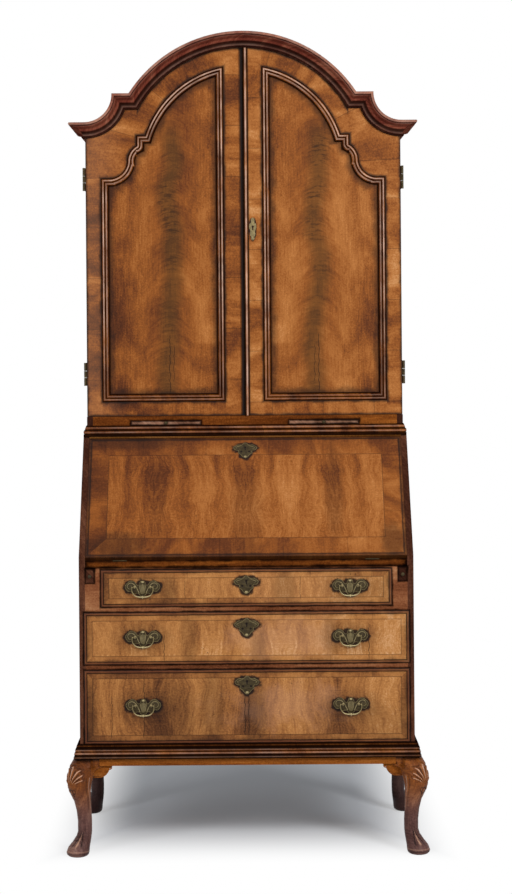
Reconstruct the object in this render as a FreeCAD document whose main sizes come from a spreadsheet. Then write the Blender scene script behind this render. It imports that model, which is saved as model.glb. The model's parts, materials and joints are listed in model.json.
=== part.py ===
import FreeCAD, Part
import Sketcher
import math
import os

# Bureau bookcase on a stand. Millimetres, +Z up, the front looks towards -Y.
# The origin lies on the floor, under the middle of the stand.

V = FreeCAD.Vector

SIZES = {
    # Bureau case
    "case_width": 872,
    "case_depth": 490,
    "bureau_height": 1080,
    "side_thick": 16,
    "bureau_top_thick": 18,
    "bureau_bottom_thick": 20,
    "back_thick": 9,
    # Clearances
    "fit_gap": 0.5,
    "slide_gap": 0.6,
    "door_gap": 1,
    "overlay_gap": 1,
    # Stand
    "stand_height": 274,
    "apron_height": 42,
    "apron_thick": 20,
    "leg_post": 50,
    "knee_reach": 31,
    "knee_width": 64,
    "knee_level": 207,
    "calf_width": 39,
    "ankle_width": 34,
    "ankle_level": 66,
    "foot_width": 59,
    "foot_reach": 33,
    "foot_height": 40,
    "bracket_length": 44,
    "bracket_drop": 24,
    "bracket_thick": 20,
    "stand_moulding_height": 39,
    "stand_moulding_reach": 16,
    "stand_moulding_lap": 23,
    # Drawers and their framing
    "low_opening": 184,
    "middle_opening": 128,
    "high_opening": 89,
    "rail_thick": 22,
    "rail_depth": 70,
    "dust_board_thick": 8,
    "stile_thick": 19.5,
    "fall_rail_thick": 6.5,
    "front_thick": 18,
    "lip_thick": 5.5,
    "lip_lap": 4,
    "lip_round": 3,
    "drawer_side_thick": 11,
    "drawer_bottom_thick": 8,
    "drawer_side_drop": 12,
    "drawer_length": 440,
    # Lopers
    "loper_width": 24,
    "loper_height": 38,
    "loper_length": 330,
    # Fall and writing board
    "fall_length": 360,
    "fall_thick": 19,
    "fall_slope": 56.4,
    "writing_board_thick": 19,
    "fall_hinge_place": 330,
    "fall_hinge_length": 36,
    "fall_hinge_radius": 2.4,
    "fall_leaf_length": 26,
    "fall_leaf_thick": 1.2,
    # Desk interior
    "interior_setback": 235,
    "interior_thick": 7,
    "small_drawer_height": 62,
    "small_drawer_width": 262,
    "small_drawer_length": 205,
    "small_drawer_wall": 7,
    "small_knob_radius": 6,
    "small_knob_length": 13,
    # Bookcase
    "bookcase_width": 853,
    "door_setback": 203,
    "plinth_height": 30,
    "plinth_thick": 18,
    "floor_thick": 12,
    "slide_room": 12,
    "slide_width": 189,
    "slide_place": 213,
    "slide_length": 240,
    "shelf_thick": 14,
    "shelf_setback": 25,
    "shelf_spacing": 245,
    "shoulder_height": 752,
    "shoulder_radius": 115,
    "shoulder_run": 108.5,
    "step_run": 35,
    "arch_radius": 325,
    "roof_thick": 12,
    "cornice_height": 40,
    "cornice_reach": 42,
    "waist_reach": 9,
    # Doors
    "door_thick": 22,
    "outer_stile": 42.5,
    "meeting_stile": 52,
    "bottom_rail": 40,
    "arch_rail": 46,
    "panel_step_rise": 90,
    "panel_step_half": 288,
    "panel_step_drop": 28,
    "ogee_drop": 88,
    "ogee_tilt": 30,
    "panel_ledge": 1,
    "frame_lap": 8,
    "panel_thick": 10,
    "panel_setback": 4,
    "panel_moulding_width": 21.5,
    "panel_moulding_rise": 7,
    "channel_width": 10,
    "channel_depth": 7,
    "astragal_offset": 2,
    "astragal_width": 11,
    "astragal_rise": 6,
    "door_pin_out": 3.5,
    "door_pin_forward": 3,
    "door_knuckle_radius": 3.2,
    "door_hinge_height": 62,
    "door_hinge_low": 84,
    "door_hinge_high": 610,
    "door_leaf_thick": 0.9,
    "door_leaf_length": 20,
    # Brasses
    "plate_thick": 1.5,
    "handle_place": 270,
    "handle_width": 93,
    "handle_height": 42,
    "post_place": 20.5,
    "post_radius": 3.8,
    "post_length": 11,
    "pin_radius": 1.7,
    "pin_gap": 0.45,
    "pivot_out": 7,
    "bail_radius": 2,
    "bail_half_span": 27,
    "bail_drop": 26,
    "bail_bend": 15,
    "bail_bead_radius": 4,
    "lock_plate_width": 66,
    "lock_plate_height": 50,
    "lock_plate_inset": 16,
    "door_plate_width": 20,
    "door_plate_height": 62,
    "door_plate_level": 504,
    "door_plate_place": 25,
    "keyhole_radius": 3,
    "keyhole_drop": 9,
    "knob_radius": 5,
    "knob_length": 11,
}

# Shares of a leg's height, reach and width, from the foot's sole to the post.
# Each row gives the level of a round section, how far it reaches beyond the
# case's corner and how wide it is.
FOOT_SHARES = ((0, 0.80, 0.78), (0.18, 1.0, 0.98), (0.55, 1.0, 1.0), (0.95, 0.70, 0.80))
CALF_SHARES = (0.38, 0.72)
CALF_REACH_SHARES = (0.20, 0.66)
COLLAR_SHARE = 0.7
BRACKET_SHARES = (0.34, 0.62, 0.36, 0.52)
KNOB_SHARES = ((0.45, 0), (0.45, 0.35), (0.75, 0.45), (1.0, 0.72))
HINGE_SHARES = (0.36, 0.64)
HINGE_GAP_SHARE = 0.012
KEYHOLE_SHARE = 0.16
PIVOT_SHARE = 0.15
PIGEONHOLES = 7
SHELVES = 2
# The furthest, in degrees, that a round length is made too long before its mitre
MOST_EXTRA = 60
# Right halves of the plates' outlines, from the top of the middle to its foot,
# in shares of half the width and of the height.
BATWING_SHARES = (
    (0, 0.50, 0.10, 0.47), (0.16, 0.36, 0.22, 0.22), (0.36, 0.28, 0.60, 0.50),
    (0.86, 0.34, 1.0, 0.14), (0.92, -0.08, 0.80, -0.20), (0.64, -0.14, 0.56, -0.30),
    (0.36, -0.32, 0.22, -0.34), (0.16, -0.44, 0.08, -0.49), (0, -0.50),
)
LOCK_PLATE_SHARES = (
    (0, 0.50, 0.10, 0.48), (0.22, 0.40, 0.40, 0.36), (0.62, 0.38, 0.82, 0.30),
    (1.0, 0.20, 0.86, 0.04), (0.62, 0.02, 0.56, -0.08), (0.62, -0.16, 0.44, -0.24),
    (0.34, -0.30, 0.20, -0.42), (0, -0.50),
)
DOOR_PLATE_SHARES = (
    (0, 0.50, 0.42, 0.44), (0.40, 0.33, 0.44, 0.28), (0.80, 0.24, 1.0, 0.10),
    (0.80, -0.02, 0.60, -0.10), (0.72, -0.18, 0.60, -0.30), (0.30, -0.36, 0.42, -0.44),
    (0, -0.50),
)
PANEL_SHARES = (
    (0, 0), (0, 0.30, 0.08, 0.72), (0.22, 0.86), (0.26, 1.0), (0.42, 1.0, 0.62, 0.86),
    (0.66, 0.42), (0.76, 0.36, 0.92, 0.28), (1.0, 0.02),
)
CORNICE_SHARES = (
    (0, 0), (0, 0.12, 0.07, 0.21), (0.14, 0.12), (0.17, 0.12, 0.54, 0.33),
    (0.80, 0.86), (0.84, 0.98), (0.94, 1.0), (1.0, 0.96), (1.0, 0),
)
STAND_MOULDING_SHARES = (
    (0, 0), (0.62, 0), (0.92, 0.04, 1.0, 0.13), (0.90, 0.24), (0.78, 0.27, 0.90, 0.37),
    (0.78, 0.49), (0.64, 0.52, 0.76, 0.62), (0.64, 0.74), (0.50, 0.77, 0.52, 0.92),
    (0.30, 1.0), (0, 1.0),
)
WAIST_SHARES = (
    (0, 0), (1.0, 0), (1.0, 0.22), (0.84, 0.25, 1.0, 0.42), (0.80, 0.60),
    (0.62, 0.62, 0.46, 0.84), (0.30, 0.93), (0.30, 1.0), (0, 1.0),
)


class Size:
    """A length or an angle that knows its number and how the sheet gives it."""

    def __init__(self, number, text):
        self.number = number
        self.text = text

    def joined(self, sign, other, number):
        return Size(number, f"({self.text} {sign} {text_of(other)})")

    def __add__(self, other):
        return self.joined("+", other, self.number + number_of(other))

    def __sub__(self, other):
        return self.joined("-", other, self.number - number_of(other))

    def __mul__(self, other):
        return self.joined("*", other, self.number * number_of(other))

    def __truediv__(self, other):
        return self.joined("/", other, self.number / number_of(other))

    def __neg__(self):
        return self * -1

    def __float__(self):
        return self.number

    __radd__ = __add__
    __rmul__ = __mul__


def number_of(value):
    return value.number if isinstance(value, Size) else value


def text_of(value):
    return value.text if isinstance(value, Size) else f"({value})"


def sine(angle):
    return Size(math.sin(math.radians(angle.number)), f"sin({angle.text} * 1 deg)")


def cosine(angle):
    return Size(math.cos(math.radians(angle.number)), f"cos({angle.text} * 1 deg)")


class Sheet:
    """The driving dimensions, each read back from its cell in the spreadsheet."""

    def __init__(self, document):
        cells = document.addObject("Spreadsheet::Sheet", "sizes")
        for row, (name, number) in enumerate(SIZES.items(), 1):
            cells.set(f"A{row}", name)
            cells.set(f"B{row}", str(number))
            cells.setAlias(f"B{row}", name)
        document.recompute()
        for name in SIZES:
            setattr(self, name, Size(float(cells.get(name)), "sizes." + name))


doc = FreeCAD.newDocument("bureau_bookcase")
s = Sheet(doc)
nodes = []

# Levels and planes that several pieces share
half_case = s.case_width / 2
front = -s.case_depth / 2
back = s.case_depth / 2
half_inside = half_case - s.side_thick
low_floor = s.stand_height + s.bureau_bottom_thick
low_rail = low_floor + s.low_opening
middle_floor = low_rail + s.rail_thick
middle_rail = middle_floor + s.middle_opening
high_floor = middle_rail + s.rail_thick
fall_rail = high_floor + s.high_opening
loper_top = fall_rail + s.fall_rail_thick
desk_top = loper_top + s.fit_gap + s.fall_thick
stile_out = half_inside - s.loper_width - s.slide_gap * 2
stile_in = stile_out - s.stile_thick
run_share = cosine(s.fall_slope)
rise_share = sine(s.fall_slope)
pin_y = front + s.fall_thick * rise_share
slope_start = desk_top + s.fall_thick * run_share
half_book = s.bookcase_width / 2
door_front = front + s.door_setback
door_back = door_front + s.door_thick
case_front = door_back + s.overlay_gap
plinth_top = s.bureau_height + s.plinth_height
slide_top = plinth_top + s.slide_room
door_base = slide_top + s.floor_thick
shoulder = door_base + s.shoulder_height
book_inside = half_book - s.side_thick
back_face = back - s.back_thick
door_pin_x = half_book + s.door_pin_out
door_pin_y = door_front - s.door_pin_forward


def at(x, y, z=0):
    return V(float(x), float(y), float(z))


def bind(thing, name, value):
    """Tie a property to the sheet, or leave it at its plain zero."""
    if isinstance(value, Size):
        thing.setExpression(name, value.text)


def board(name, x, y, z):
    """A box between two places along each axis."""
    box = doc.addObject("Part::Box", name)
    for side, (low, high) in zip(("Length", "Width", "Height"), (x, y, z)):
        bind(box, side, high - low)
    for axis, (low, high) in zip("xyz", (x, y, z)):
        bind(box, "Placement.Base." + axis, low)
    return box


def feature(name, shape, place=None):
    """A piece whose form is worked out here from the sheet's sizes."""
    piece = doc.addObject("Part::Feature", name)
    piece.Shape = shape
    if place:
        piece.Placement = place
    return piece


def node(label, *pieces):
    """Name a sub-part, which is one piece or a group of separate pieces."""
    if len(pieces) == 1:
        whole = pieces[0]
    else:
        whole = doc.addObject("Part::Compound", label + "_group")
        whole.Links = list(pieces)
    whole.Label = label
    nodes.append(whole)
    return whole


def sided(side, low, high):
    """A span along X on the right side, or its mirror image on the left."""
    return (low, high) if side > 0 else (-high, -low)


def side_name(side):
    return "right" if side > 0 else "left"


def origin_plane(body, role):
    for plane in body.Origin.OriginFeatures:
        if plane.Role == role:
            return plane
    raise ValueError("no plane " + role)


def padded(name, role, corners, start, length):
    """A body with one straight-sided outline, padded from a place along its normal."""
    body = doc.addObject("PartDesign::Body", name)
    sketch = body.newObject("Sketcher::SketchObject", name + "_outline")
    sketch.AttachmentSupport = (origin_plane(body, role), [""])
    sketch.MapMode = "FlatFace"
    bind(sketch, "AttachmentOffset.Base.z", start)
    count = len(corners)
    for i in range(count):
        sketch.addGeometry(Part.LineSegment(at(*corners[i]), at(*corners[(i + 1) % count])))
    for i in range(count):
        sketch.addConstraint(Sketcher.Constraint("Coincident", i, 2, (i + 1) % count, 1))
    for i, corner in enumerate(corners):
        for kind, value in zip(("DistanceX", "DistanceY"), corner):
            index = sketch.addConstraint(Sketcher.Constraint(kind, -1, 1, i, 1, float(value)))
            sketch.setExpression(f"Constraints[{index}]", text_of(value))
    pad = body.newObject("PartDesign::Pad", name + "_pad")
    pad.Profile = sketch
    bind(pad, "Length", length)
    body.Tip = pad
    return body



# Outlines seen face on: the lengths between their corners, straight or round,
# and the same outlines moved sideways to the left of their direction.

class Stretch:
    """One straight or round length of an outline."""

    def __init__(self, start, end, centre=None):
        self.start, self.end, self.centre = start, end, centre
        if centre:
            self.radius = (start - centre).Length
            self.turn = 1 if (start - centre).cross(end - centre).z > 0 else -1

    def heading(self, point):
        if not self.centre:
            return (self.end - self.start).normalize()
        return V(0, 0, self.turn).cross(point - self.centre).normalize()

    def left(self, point):
        return V(0, 0, 1).cross(self.heading(point))

    def moved(self, away):
        """The unbounded line or circle that lies this far to the left."""
        if not self.centre:
            shift = self.left(self.start) * away
            return Part.Line(self.start + shift, self.end + shift)
        return Part.Circle(self.centre, V(0, 0, 1), self.radius - self.turn * away)

    def edge(self, start, end):
        """This length between two points of the moved outline."""
        if not self.centre:
            return Part.LineSegment(start, end).toShape()
        middle = (start - self.centre).normalize() + (end - self.centre).normalize()
        reach = (start - self.centre).Length
        return Part.Arc(start, self.centre + middle.normalize() * reach, end).toShape()


def outline(points, closed=False):
    """Stretches through points; a point with a centre after it starts an arc."""
    places = [p if isinstance(p, tuple) else (p, None) for p in points]
    following = places[1:] + places[:1] if closed else places[1:]
    return [Stretch(p, q, centre) for (p, centre), (q, _) in zip(places, following)]


def corner(before, after, away):
    """Where two neighbouring stretches meet once both have moved to the left."""
    point = before.end
    bend = before.heading(point).cross(after.heading(point)).Length
    if bend < 0.02 or not away:
        return point + before.left(point) * away
    met = before.moved(away).intersectCC(after.moved(away))
    places = [V(p.X, p.Y, p.Z) for p in met]
    return min(places, key=lambda place: (place - point).Length)


def moved_corners(stretches, away, closed):
    """Start and end of each stretch in the moved outline."""
    first, last = stretches[0], stretches[-1]
    joints = [corner(a, b, away) for a, b in zip(stretches, stretches[1:])]
    if closed:
        ends = [corner(last, first, away)]
        return list(zip(ends + joints, joints + ends))
    start = first.start + first.left(first.start) * away
    end = last.end + last.left(last.end) * away
    return list(zip([start] + joints, joints + [end]))


def moved_edges(stretches, away=0.0, closed=True):
    ends = moved_corners(stretches, away, closed)
    return [part.edge(a, b) for part, (a, b) in zip(stretches, ends)]


def moved_face(stretches, away=0.0):
    return Part.Face(Part.Wire(moved_edges(stretches, away)))


def profile_face(points, origin, left):
    """A cross-section across an outline: each point goes left, then up."""
    places = [origin + left * p[0] + V(0, 0, p[1]) for p in points]
    edges = []
    for i, point in enumerate(points):
        following = places[(i + 1) % len(places)]
        if len(point) == 4:
            through = origin + left * point[2] + V(0, 0, point[3])
            edges.append(Part.Arc(places[i], through, following).toShape())
        else:
            edges.append(Part.LineSegment(places[i], following).toShape())
    return Part.Face(Part.Wire(edges))


def trimmed(solid, point, outward, reach):
    """What is left of a solid behind a mitre plane."""
    return solid.cut(Part.makeCylinder(reach, reach, point, outward))


def mitres(stretches, width, closed):
    """A point and a forward direction for the mitre at both ends of each stretch."""
    def mitre(before, after):
        point = before.end
        across = (corner(before, after, width) - point).normalize()
        return point, across.cross(V(0, 0, 1))
    first, last = stretches[0], stretches[-1]
    joints = [mitre(a, b) for a, b in zip(stretches, stretches[1:])]
    if closed:
        ends = [mitre(last, first)]
        return list(zip(ends + joints, joints + ends))
    start = (first.start, first.heading(first.start))
    end = (last.end, last.heading(last.end))
    return list(zip([start] + joints, joints + [end]))


def moulding(stretches, points, closed=False):
    """Mitred lengths of one moulding along an outline, each a solid of its own."""
    width = max(abs(p[0]) for p in points)
    depth = max(abs(p[1]) for p in points)
    spare = 1.5 * width
    reach = 2 * max(spare, depth)
    lengths = []
    for part, (first, last) in zip(stretches, mitres(stretches, width, closed)):
        if part.centre:
            inner_radius = min(part.radius, part.radius - part.turn * width)
            extra = min(math.degrees(spare / inner_radius), MOST_EXTRA)
            swept = part.turn * (2 * extra + math.degrees(
                (part.start - part.centre).getAngle(part.end - part.centre)))
            turned = FreeCAD.Rotation(V(0, 0, 1), -part.turn * extra)
            begin = part.centre + turned.multVec(part.start - part.centre)
            face = profile_face(points, begin, turned.multVec(part.left(part.start)))
            solid = face.revolve(part.centre, V(0, 0, 1), swept)
        else:
            ahead = part.heading(part.start)
            face = profile_face(points, part.start - ahead * spare, part.left(part.start))
            solid = face.extrude(ahead * ((part.end - part.start).Length + 2 * spare))
        solid = trimmed(solid, first[0], -first[1], reach)
        lengths.append(trimmed(solid, last[0], last[1], reach))
    return lengths


def in_sizes(shares, width, depth):
    """Cross-section points worked out from shares of a width and a depth."""
    scale = (float(width), float(depth)) * 2
    return [tuple(share * size for share, size in zip(row, scale)) for row in shares]


def upright(y):
    """Turns a face-on outline upright at a depth, so that it thickens forwards."""
    return FreeCAD.Placement(at(0, y), FreeCAD.Rotation(V(1, 0, 0), 90))


def slab(face, y_low, y_high):
    """A face-on shape made solid between two depths."""
    solid = face.extrude(V(0, 0, float(y_high - y_low)))
    return solid, upright(y_high)


# Stand

def leg_rows():
    """Level, reach beyond the case and width of each round section of a leg."""
    foot = [(float(s.foot_height) * level, float(s.foot_reach) * reach, float(s.foot_width) * wide)
            for level, reach, wide in FOOT_SHARES]
    ankle, knee = float(s.ankle_level), float(s.knee_level)
    calf_level = ankle + (knee - ankle) * CALF_SHARES[0]
    thigh_level = ankle + (knee - ankle) * CALF_SHARES[1]
    collar = float(s.stand_moulding_reach) * COLLAR_SHARE
    return foot + [
        (ankle, 0, float(s.ankle_width)),
        (calf_level, float(s.knee_reach) * CALF_REACH_SHARES[0], float(s.calf_width)),
        (thigh_level, float(s.knee_reach) * CALF_REACH_SHARES[1],
         (float(s.calf_width) + float(s.knee_width)) / 2),
        (knee, float(s.knee_reach), float(s.knee_width)),
        (float(s.stand_height - s.stand_moulding_lap), collar,
         float(s.leg_post - s.fit_gap) + collar),
    ]


def leg(x_side, y_side):
    rings = []
    for level, reach, wide in leg_rows():
        middle = V(x_side * (float(half_case) + reach - wide / 2),
                   y_side * (float(back) + reach - wide / 2), level)
        ring = Part.Circle(middle, V(0, 0, 1), wide / 2).toShape()
        rings.append(Part.Wire([ring]))
    shaped = Part.makeLoft(rings, True, False)
    post, under = float(s.leg_post), float(s.stand_height - s.apron_height)
    x_low = float(half_case) - post if x_side > 0 else -float(half_case)
    y_low = float(back) - post if y_side > 0 else -float(back)
    block = Part.makeBox(post, post, float(s.apron_height), V(x_low, y_low, under))
    whole = shaped.fuse(block).removeSplitter()
    ends = ("front" if y_side < 0 else "back") + "_" + side_name(x_side)
    return node("leg_" + ends, feature("leg_" + ends, whole.Solids[0]))


def bracket(x_side, y_side, along_x):
    """A shaped ear between a leg and the rail above it."""
    long, drop = float(s.bracket_length), float(s.bracket_drop)
    thick, post = float(s.bracket_thick), float(s.leg_post)
    top = float(s.stand_height - s.apron_height)
    heel, toe = V(0, 0), V(long, 0)
    tip = V(long, -drop * BRACKET_SHARES[0])
    notch = V(long * BRACKET_SHARES[1], -drop * BRACKET_SHARES[0])
    foot = V(0, -drop)
    scroll = V(long * BRACKET_SHARES[2], -drop * BRACKET_SHARES[3])
    edges = [
        Part.LineSegment(heel, toe), Part.LineSegment(toe, tip),
        Part.LineSegment(tip, notch), Part.Arc(notch, scroll, foot), Part.LineSegment(foot, heel),
    ]
    face = Part.Face(Part.Wire([edge.toShape() for edge in edges]))
    solid = face.extrude(V(0, 0, thick))
    ahead = V(-x_side, 0, 0) if along_x else V(0, -y_side, 0)
    inward = ahead.cross(V(0, 0, 1))
    start = V(x_side * (float(half_case) - post), y_side * float(back), top)
    if not along_x:
        start = V(x_side * float(half_case), y_side * (float(back) - post), top)
    outer = V(0, y_side, 0) if along_x else V(x_side, 0, 0)
    if inward.dot(outer) > 0:
        start = start - inward * thick
    frame = FreeCAD.Rotation(ahead, V(0, 0, 1), inward, "XYZ")
    return feature("knee_bracket", solid, FreeCAD.Placement(start, frame))


def stand():
    for x_side in (-1, 1):
        for y_side in (-1, 1):
            leg(x_side, y_side)
    low, high = s.stand_height - s.apron_height, s.stand_height
    long_x = (-half_case + s.leg_post, half_case - s.leg_post)
    long_y = (front + s.leg_post, back - s.leg_post)
    rails = [
        board("front_apron", long_x, (front, front + s.apron_thick), (low, high)),
        board("back_rail", long_x, (back - s.apron_thick, back), (low, high)),
    ]
    for side in (-1, 1):
        span = sided(side, half_case - s.apron_thick, half_case)
        rails.append(board("side_rail", span, long_y, (low, high)))
    node("stand_rails", *rails)
    ears = [bracket(x, y, way) for x in (-1, 1) for y, way in ((-1, True), (-1, False), (1, False))]
    node("knee_brackets", *ears)
    profile = in_sizes(STAND_MOULDING_SHARES, s.stand_moulding_reach, s.stand_moulding_height)
    around_case("stand_moulding", half_case, front, s.stand_height - s.stand_moulding_lap, profile)


def around_case(label, half_width, front_y, level, profile):
    """A moulding along both sides and the front, mitred at the front corners."""
    path = outline([at(half_width, back), at(half_width, front_y),
                    at(-half_width, front_y), at(-half_width, back)])
    place = FreeCAD.Placement(at(0, 0, level), FreeCAD.Rotation())
    pieces = [feature(label + "_length", solid, place) for solid in moulding(path, profile)]
    node(label, *pieces)


# Bureau case

def bureau_case():
    slope_end = front + (s.bureau_height - slope_start) * run_share / rise_share
    profile = [(front, s.stand_height), (front, slope_start), (slope_end, s.bureau_height),
               (back, s.bureau_height), (back, s.stand_height)]
    for side in (-1, 1):
        low, high = sided(side, half_inside, half_case)
        name = "bureau_side_" + side_name(side)
        node(name, padded(name + "_board", "YZ_Plane", profile, low, high - low))
    inside = (-half_inside, half_inside)
    node("bureau_bottom", board("bureau_bottom_board", inside, (front, back_face),
                                (s.stand_height, low_floor)))
    node("bureau_back", board("bureau_back_board", inside, (back_face, back),
                              (s.stand_height, s.bureau_height)))
    # The top board's front edge leans back, square to the closed fall.
    edge = s.fall_length + s.fit_gap * 2
    low = s.bureau_height - s.bureau_top_thick

    def edge_y(level):
        return pin_y + (edge - (level - desk_top) * rise_share) / run_share

    profile = [(edge_y(low), low), (edge_y(s.bureau_height), s.bureau_height),
               (back_face, s.bureau_height), (back_face, low)]
    node("bureau_top", padded("bureau_top_board", "YZ_Plane", profile, -half_inside, half_inside * 2))


def drawer_framing():
    """Rails between the drawers, dust boards, and the stiles beside the top drawer."""
    inside = (-half_inside, half_inside)
    rail_y = (front, front + s.rail_depth)
    dust_y = (front + s.rail_depth, back_face)
    pieces = []
    for low in (low_rail, middle_rail):
        high = low + s.rail_thick
        pieces.append(board("drawer_rail", inside, rail_y, (low, high)))
        pieces.append(board("dust_board", inside, dust_y, (high - s.dust_board_thick, high)))
    pieces.append(board("fall_rail", (-stile_out, stile_out), rail_y, (fall_rail, loper_top)))
    for side in (-1, 1):
        stile = sided(side, stile_in, stile_out)
        pieces.append(board("stile", stile, (front, back_face), (high_floor, fall_rail)))
        bed = sided(side, stile_out, half_inside)
        low = loper_top - s.loper_height - s.slide_gap
        pieces.append(board("loper_bed", bed, (front, back_face), (high_floor, low)))
    node("drawer_framing", *pieces)


def writing_board():
    plain = board("writing_board_plain", (-half_inside, half_inside), (pin_y + s.fit_gap, back_face),
                  (desk_top - s.writing_board_thick, desk_top))
    cut = doc.addObject("Part::Cut", "writing_board_cut")
    cut.Base = plain
    cut.Tool = feature("writing_board_recesses", Part.makeCompound(
        [piece for side in (-1, 1) for piece in (knuckle(side, float(s.pin_gap)), case_leaf(side))]))
    node("writing_board", cut)


def lopers():
    for side in (-1, 1):
        name = "loper_" + side_name(side)
        low = half_inside - s.slide_gap - s.loper_width
        slide = board(name + "_slide", sided(side, low, low + s.loper_width),
                      (front, front + s.loper_length), (loper_top - s.loper_height, loper_top))
        node(name, slide)
        knob = turned_knob(low + s.loper_width / 2, loper_top - s.loper_height / 2, side, front)
        node(name + "_knob", knob)


def turned_knob(x, z, side, y, radius=None, length=None):
    """A small turned knob with a domed end, standing forwards from a face."""
    wide = float(radius or s.knob_radius)
    long = float(length or s.knob_length)
    rows = [(0, 0)] + [(wide * share, long * along) for share, along in KNOB_SHARES]
    edges = [Part.LineSegment(V(*a), V(*b)).toShape() for a, b in zip(rows, rows[1:])]
    rim, level = rows[-1]
    dome = (rim ** 2 + (long - level) ** 2) / (long - level) / 2
    half_turn = math.atan2(rim, level - long + dome) / 2
    crown = V(0, long)
    through = V(dome * math.sin(half_turn), long - dome + dome * math.cos(half_turn))
    edges.append(Part.Arc(V(rim, level), through, crown).toShape())
    edges.append(Part.LineSegment(crown, V(0, 0)).toShape())
    solid = Part.Face(Part.Wire(edges)).revolve(V(0, 0), V(0, 1, 0), 360)
    place = FreeCAD.Placement(at(x * side, y, z), FreeCAD.Rotation(V(1, 0, 0), 180))
    return feature("turned_knob", solid, place)


# Fall

def on_fall():
    """Place of a shape drawn on the closed fall: X across, Y up the slope, Z outwards."""
    lean = FreeCAD.Rotation(V(1, 0, 0), float(s.fall_slope))
    return FreeCAD.Placement(at(0, pin_y, desk_top), lean)


def knuckle(side, extra=0.0):
    radius = float(s.fall_hinge_radius) + extra
    long = float(s.fall_hinge_length) + 2 * extra
    start = at(s.fall_hinge_place * side, pin_y, desk_top) - V(long / 2, 0, 0)
    return Part.makeCylinder(radius, long, start, V(1, 0, 0))


def leaf_box(side, y_low, y_high, z_low, z_high):
    low = float(s.fall_hinge_place * side - s.fall_hinge_length / 2)
    return Part.makeBox(float(s.fall_hinge_length), y_high - y_low, z_high - z_low,
                        V(low, y_low, z_low))


def case_leaf(side):
    start = float(pin_y + s.fall_hinge_radius + s.pin_gap)
    return leaf_box(side, start, start + float(s.fall_leaf_length),
                    float(desk_top - s.fall_leaf_thick), float(desk_top))


def fall_leaf(side):
    """The hinge leaf let into the inner face of the fall, from the pin upwards."""
    leaf = leaf_box(side, 0, float(s.fall_leaf_length), 0, float(s.fall_leaf_thick))
    leaf.Placement = on_fall().multiply(leaf.Placement)
    return leaf


def fall():
    up, out = s.fall_length, s.fall_thick
    foot = (pin_y, desk_top)
    corners = [foot,
               (pin_y - out * rise_share, desk_top + out * run_share),
               (pin_y + up * run_share - out * rise_share, desk_top + up * rise_share + out * run_share),
               (pin_y + up * run_share, desk_top + up * rise_share)]
    half = half_inside - s.fit_gap
    plain = padded("fall_plain", "YZ_Plane", corners, -half, half * 2)
    cut = doc.addObject("Part::Cut", "fall_cut")
    cut.Base = plain
    inner = [fall_leaf(side) for side in (-1, 1)]
    cut.Tool = feature("fall_recesses", Part.makeCompound(
        [knuckle(side, float(s.pin_gap)) for side in (-1, 1)] + inner))
    node("fall_board", cut)
    plate = lock_plate(s.lock_plate_width, s.lock_plate_height)
    plate.translate(at(0, s.fall_length - s.lock_plate_inset - s.lock_plate_height / 2, s.fall_thick))
    plate.Placement = on_fall().multiply(plate.Placement)
    hinges = [knuckle(side).fuse(fall_leaf(side)).removeSplitter() for side in (-1, 1)]
    node("fall_brasses", feature("fall_lock_plate", plate.copy()),
         *[feature("fall_hinge", hinge.Solids[0]) for hinge in hinges])


# Drawers

def drawer(name, half_width, floor, height):
    """Lipped front, dovetailed box, back plates and two swinging bails."""
    gap = s.slide_gap
    half = half_width - gap
    low, high = floor + gap, floor + height - gap
    core_back = front + s.front_thick
    core = board(name + "_core", (-half, half), (front - gap / 2, core_back), (low, high))
    lap = s.lip_lap
    lip = board(name + "_lip_board", (-half_width - lap, half_width + lap),
                (front - gap / 2 - s.lip_thick, front - gap / 2), (floor - lap, floor + height + lap))
    rounded = doc.addObject("Part::Chamfer", name + "_lip")
    rounded.Base = lip
    doc.recompute()
    face = front - gap / 2 - s.lip_thick
    edges = [i for i, edge in enumerate(lip.Shape.Edges, 1)
             if abs(edge.BoundBox.YMax - float(face)) < 0.01]
    rounded.Edges = [(i, float(s.lip_round), float(s.lip_round)) for i in edges]
    node(name + "_front", core, rounded)
    side_high = high - s.drawer_side_drop
    end = front + s.drawer_length
    wall, base = s.drawer_side_thick, s.drawer_bottom_thick
    pieces = [board("drawer_side", sided(side, half - wall, half), (core_back, end), (low, side_high))
              for side in (-1, 1)]
    inner = (-half + wall, half - wall)
    pieces.append(board("drawer_back", inner, (end - wall, end), (low, side_high)))
    pieces.append(board("drawer_bottom", inner, (core_back, end - wall), (low, low + base)))
    node(name + "_box", *pieces)
    middle = floor + height / 2
    brasses = []
    for side in (-1, 1):
        brasses.append(back_plate(side, face, middle))
        for post_side in (-1, 1):
            brasses.append(post(s.handle_place * side + s.post_place * post_side, face, pivot_level(middle)))
    plate = lock_plate(s.lock_plate_width, s.lock_plate_height)
    centre = floor + height + lap - s.lock_plate_inset - s.lock_plate_height / 2
    brasses.append(feature("lock_plate", plate, FreeCAD.Placement(
        at(0, face, centre), FreeCAD.Rotation(V(1, 0, 0), 90))))
    node(name + "_brasses", *brasses)
    for side in (-1, 1):
        node(f"{name}_bail_{side_name(side)}", bail(s.handle_place * side, face, pivot_level(middle)))


def pivot_level(middle):
    return middle + s.bail_drop * PIVOT_SHARE


def mirrored_face(rows, width, height):
    """A flat shape from the right half of its outline, drawn in shares and mirrored.

    Each row is a corner, or a corner with the point that an arc to the next
    corner passes through.
    """
    half, tall = float(width) / 2, float(height)
    def edges(sign):
        made = []
        for row, following in zip(rows, rows[1:]):
            start, end = [V(sign * r[0] * half, r[1] * tall) for r in (row, following)]
            if len(row) == 4:
                through = V(sign * row[2] * half, row[3] * tall)
                made.append(Part.Arc(start, through, end).toShape())
            else:
                made.append(Part.LineSegment(start, end).toShape())
        return made
    return Part.Face(Part.Wire(Part.__sortEdges__(edges(1) + edges(-1))))


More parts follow.
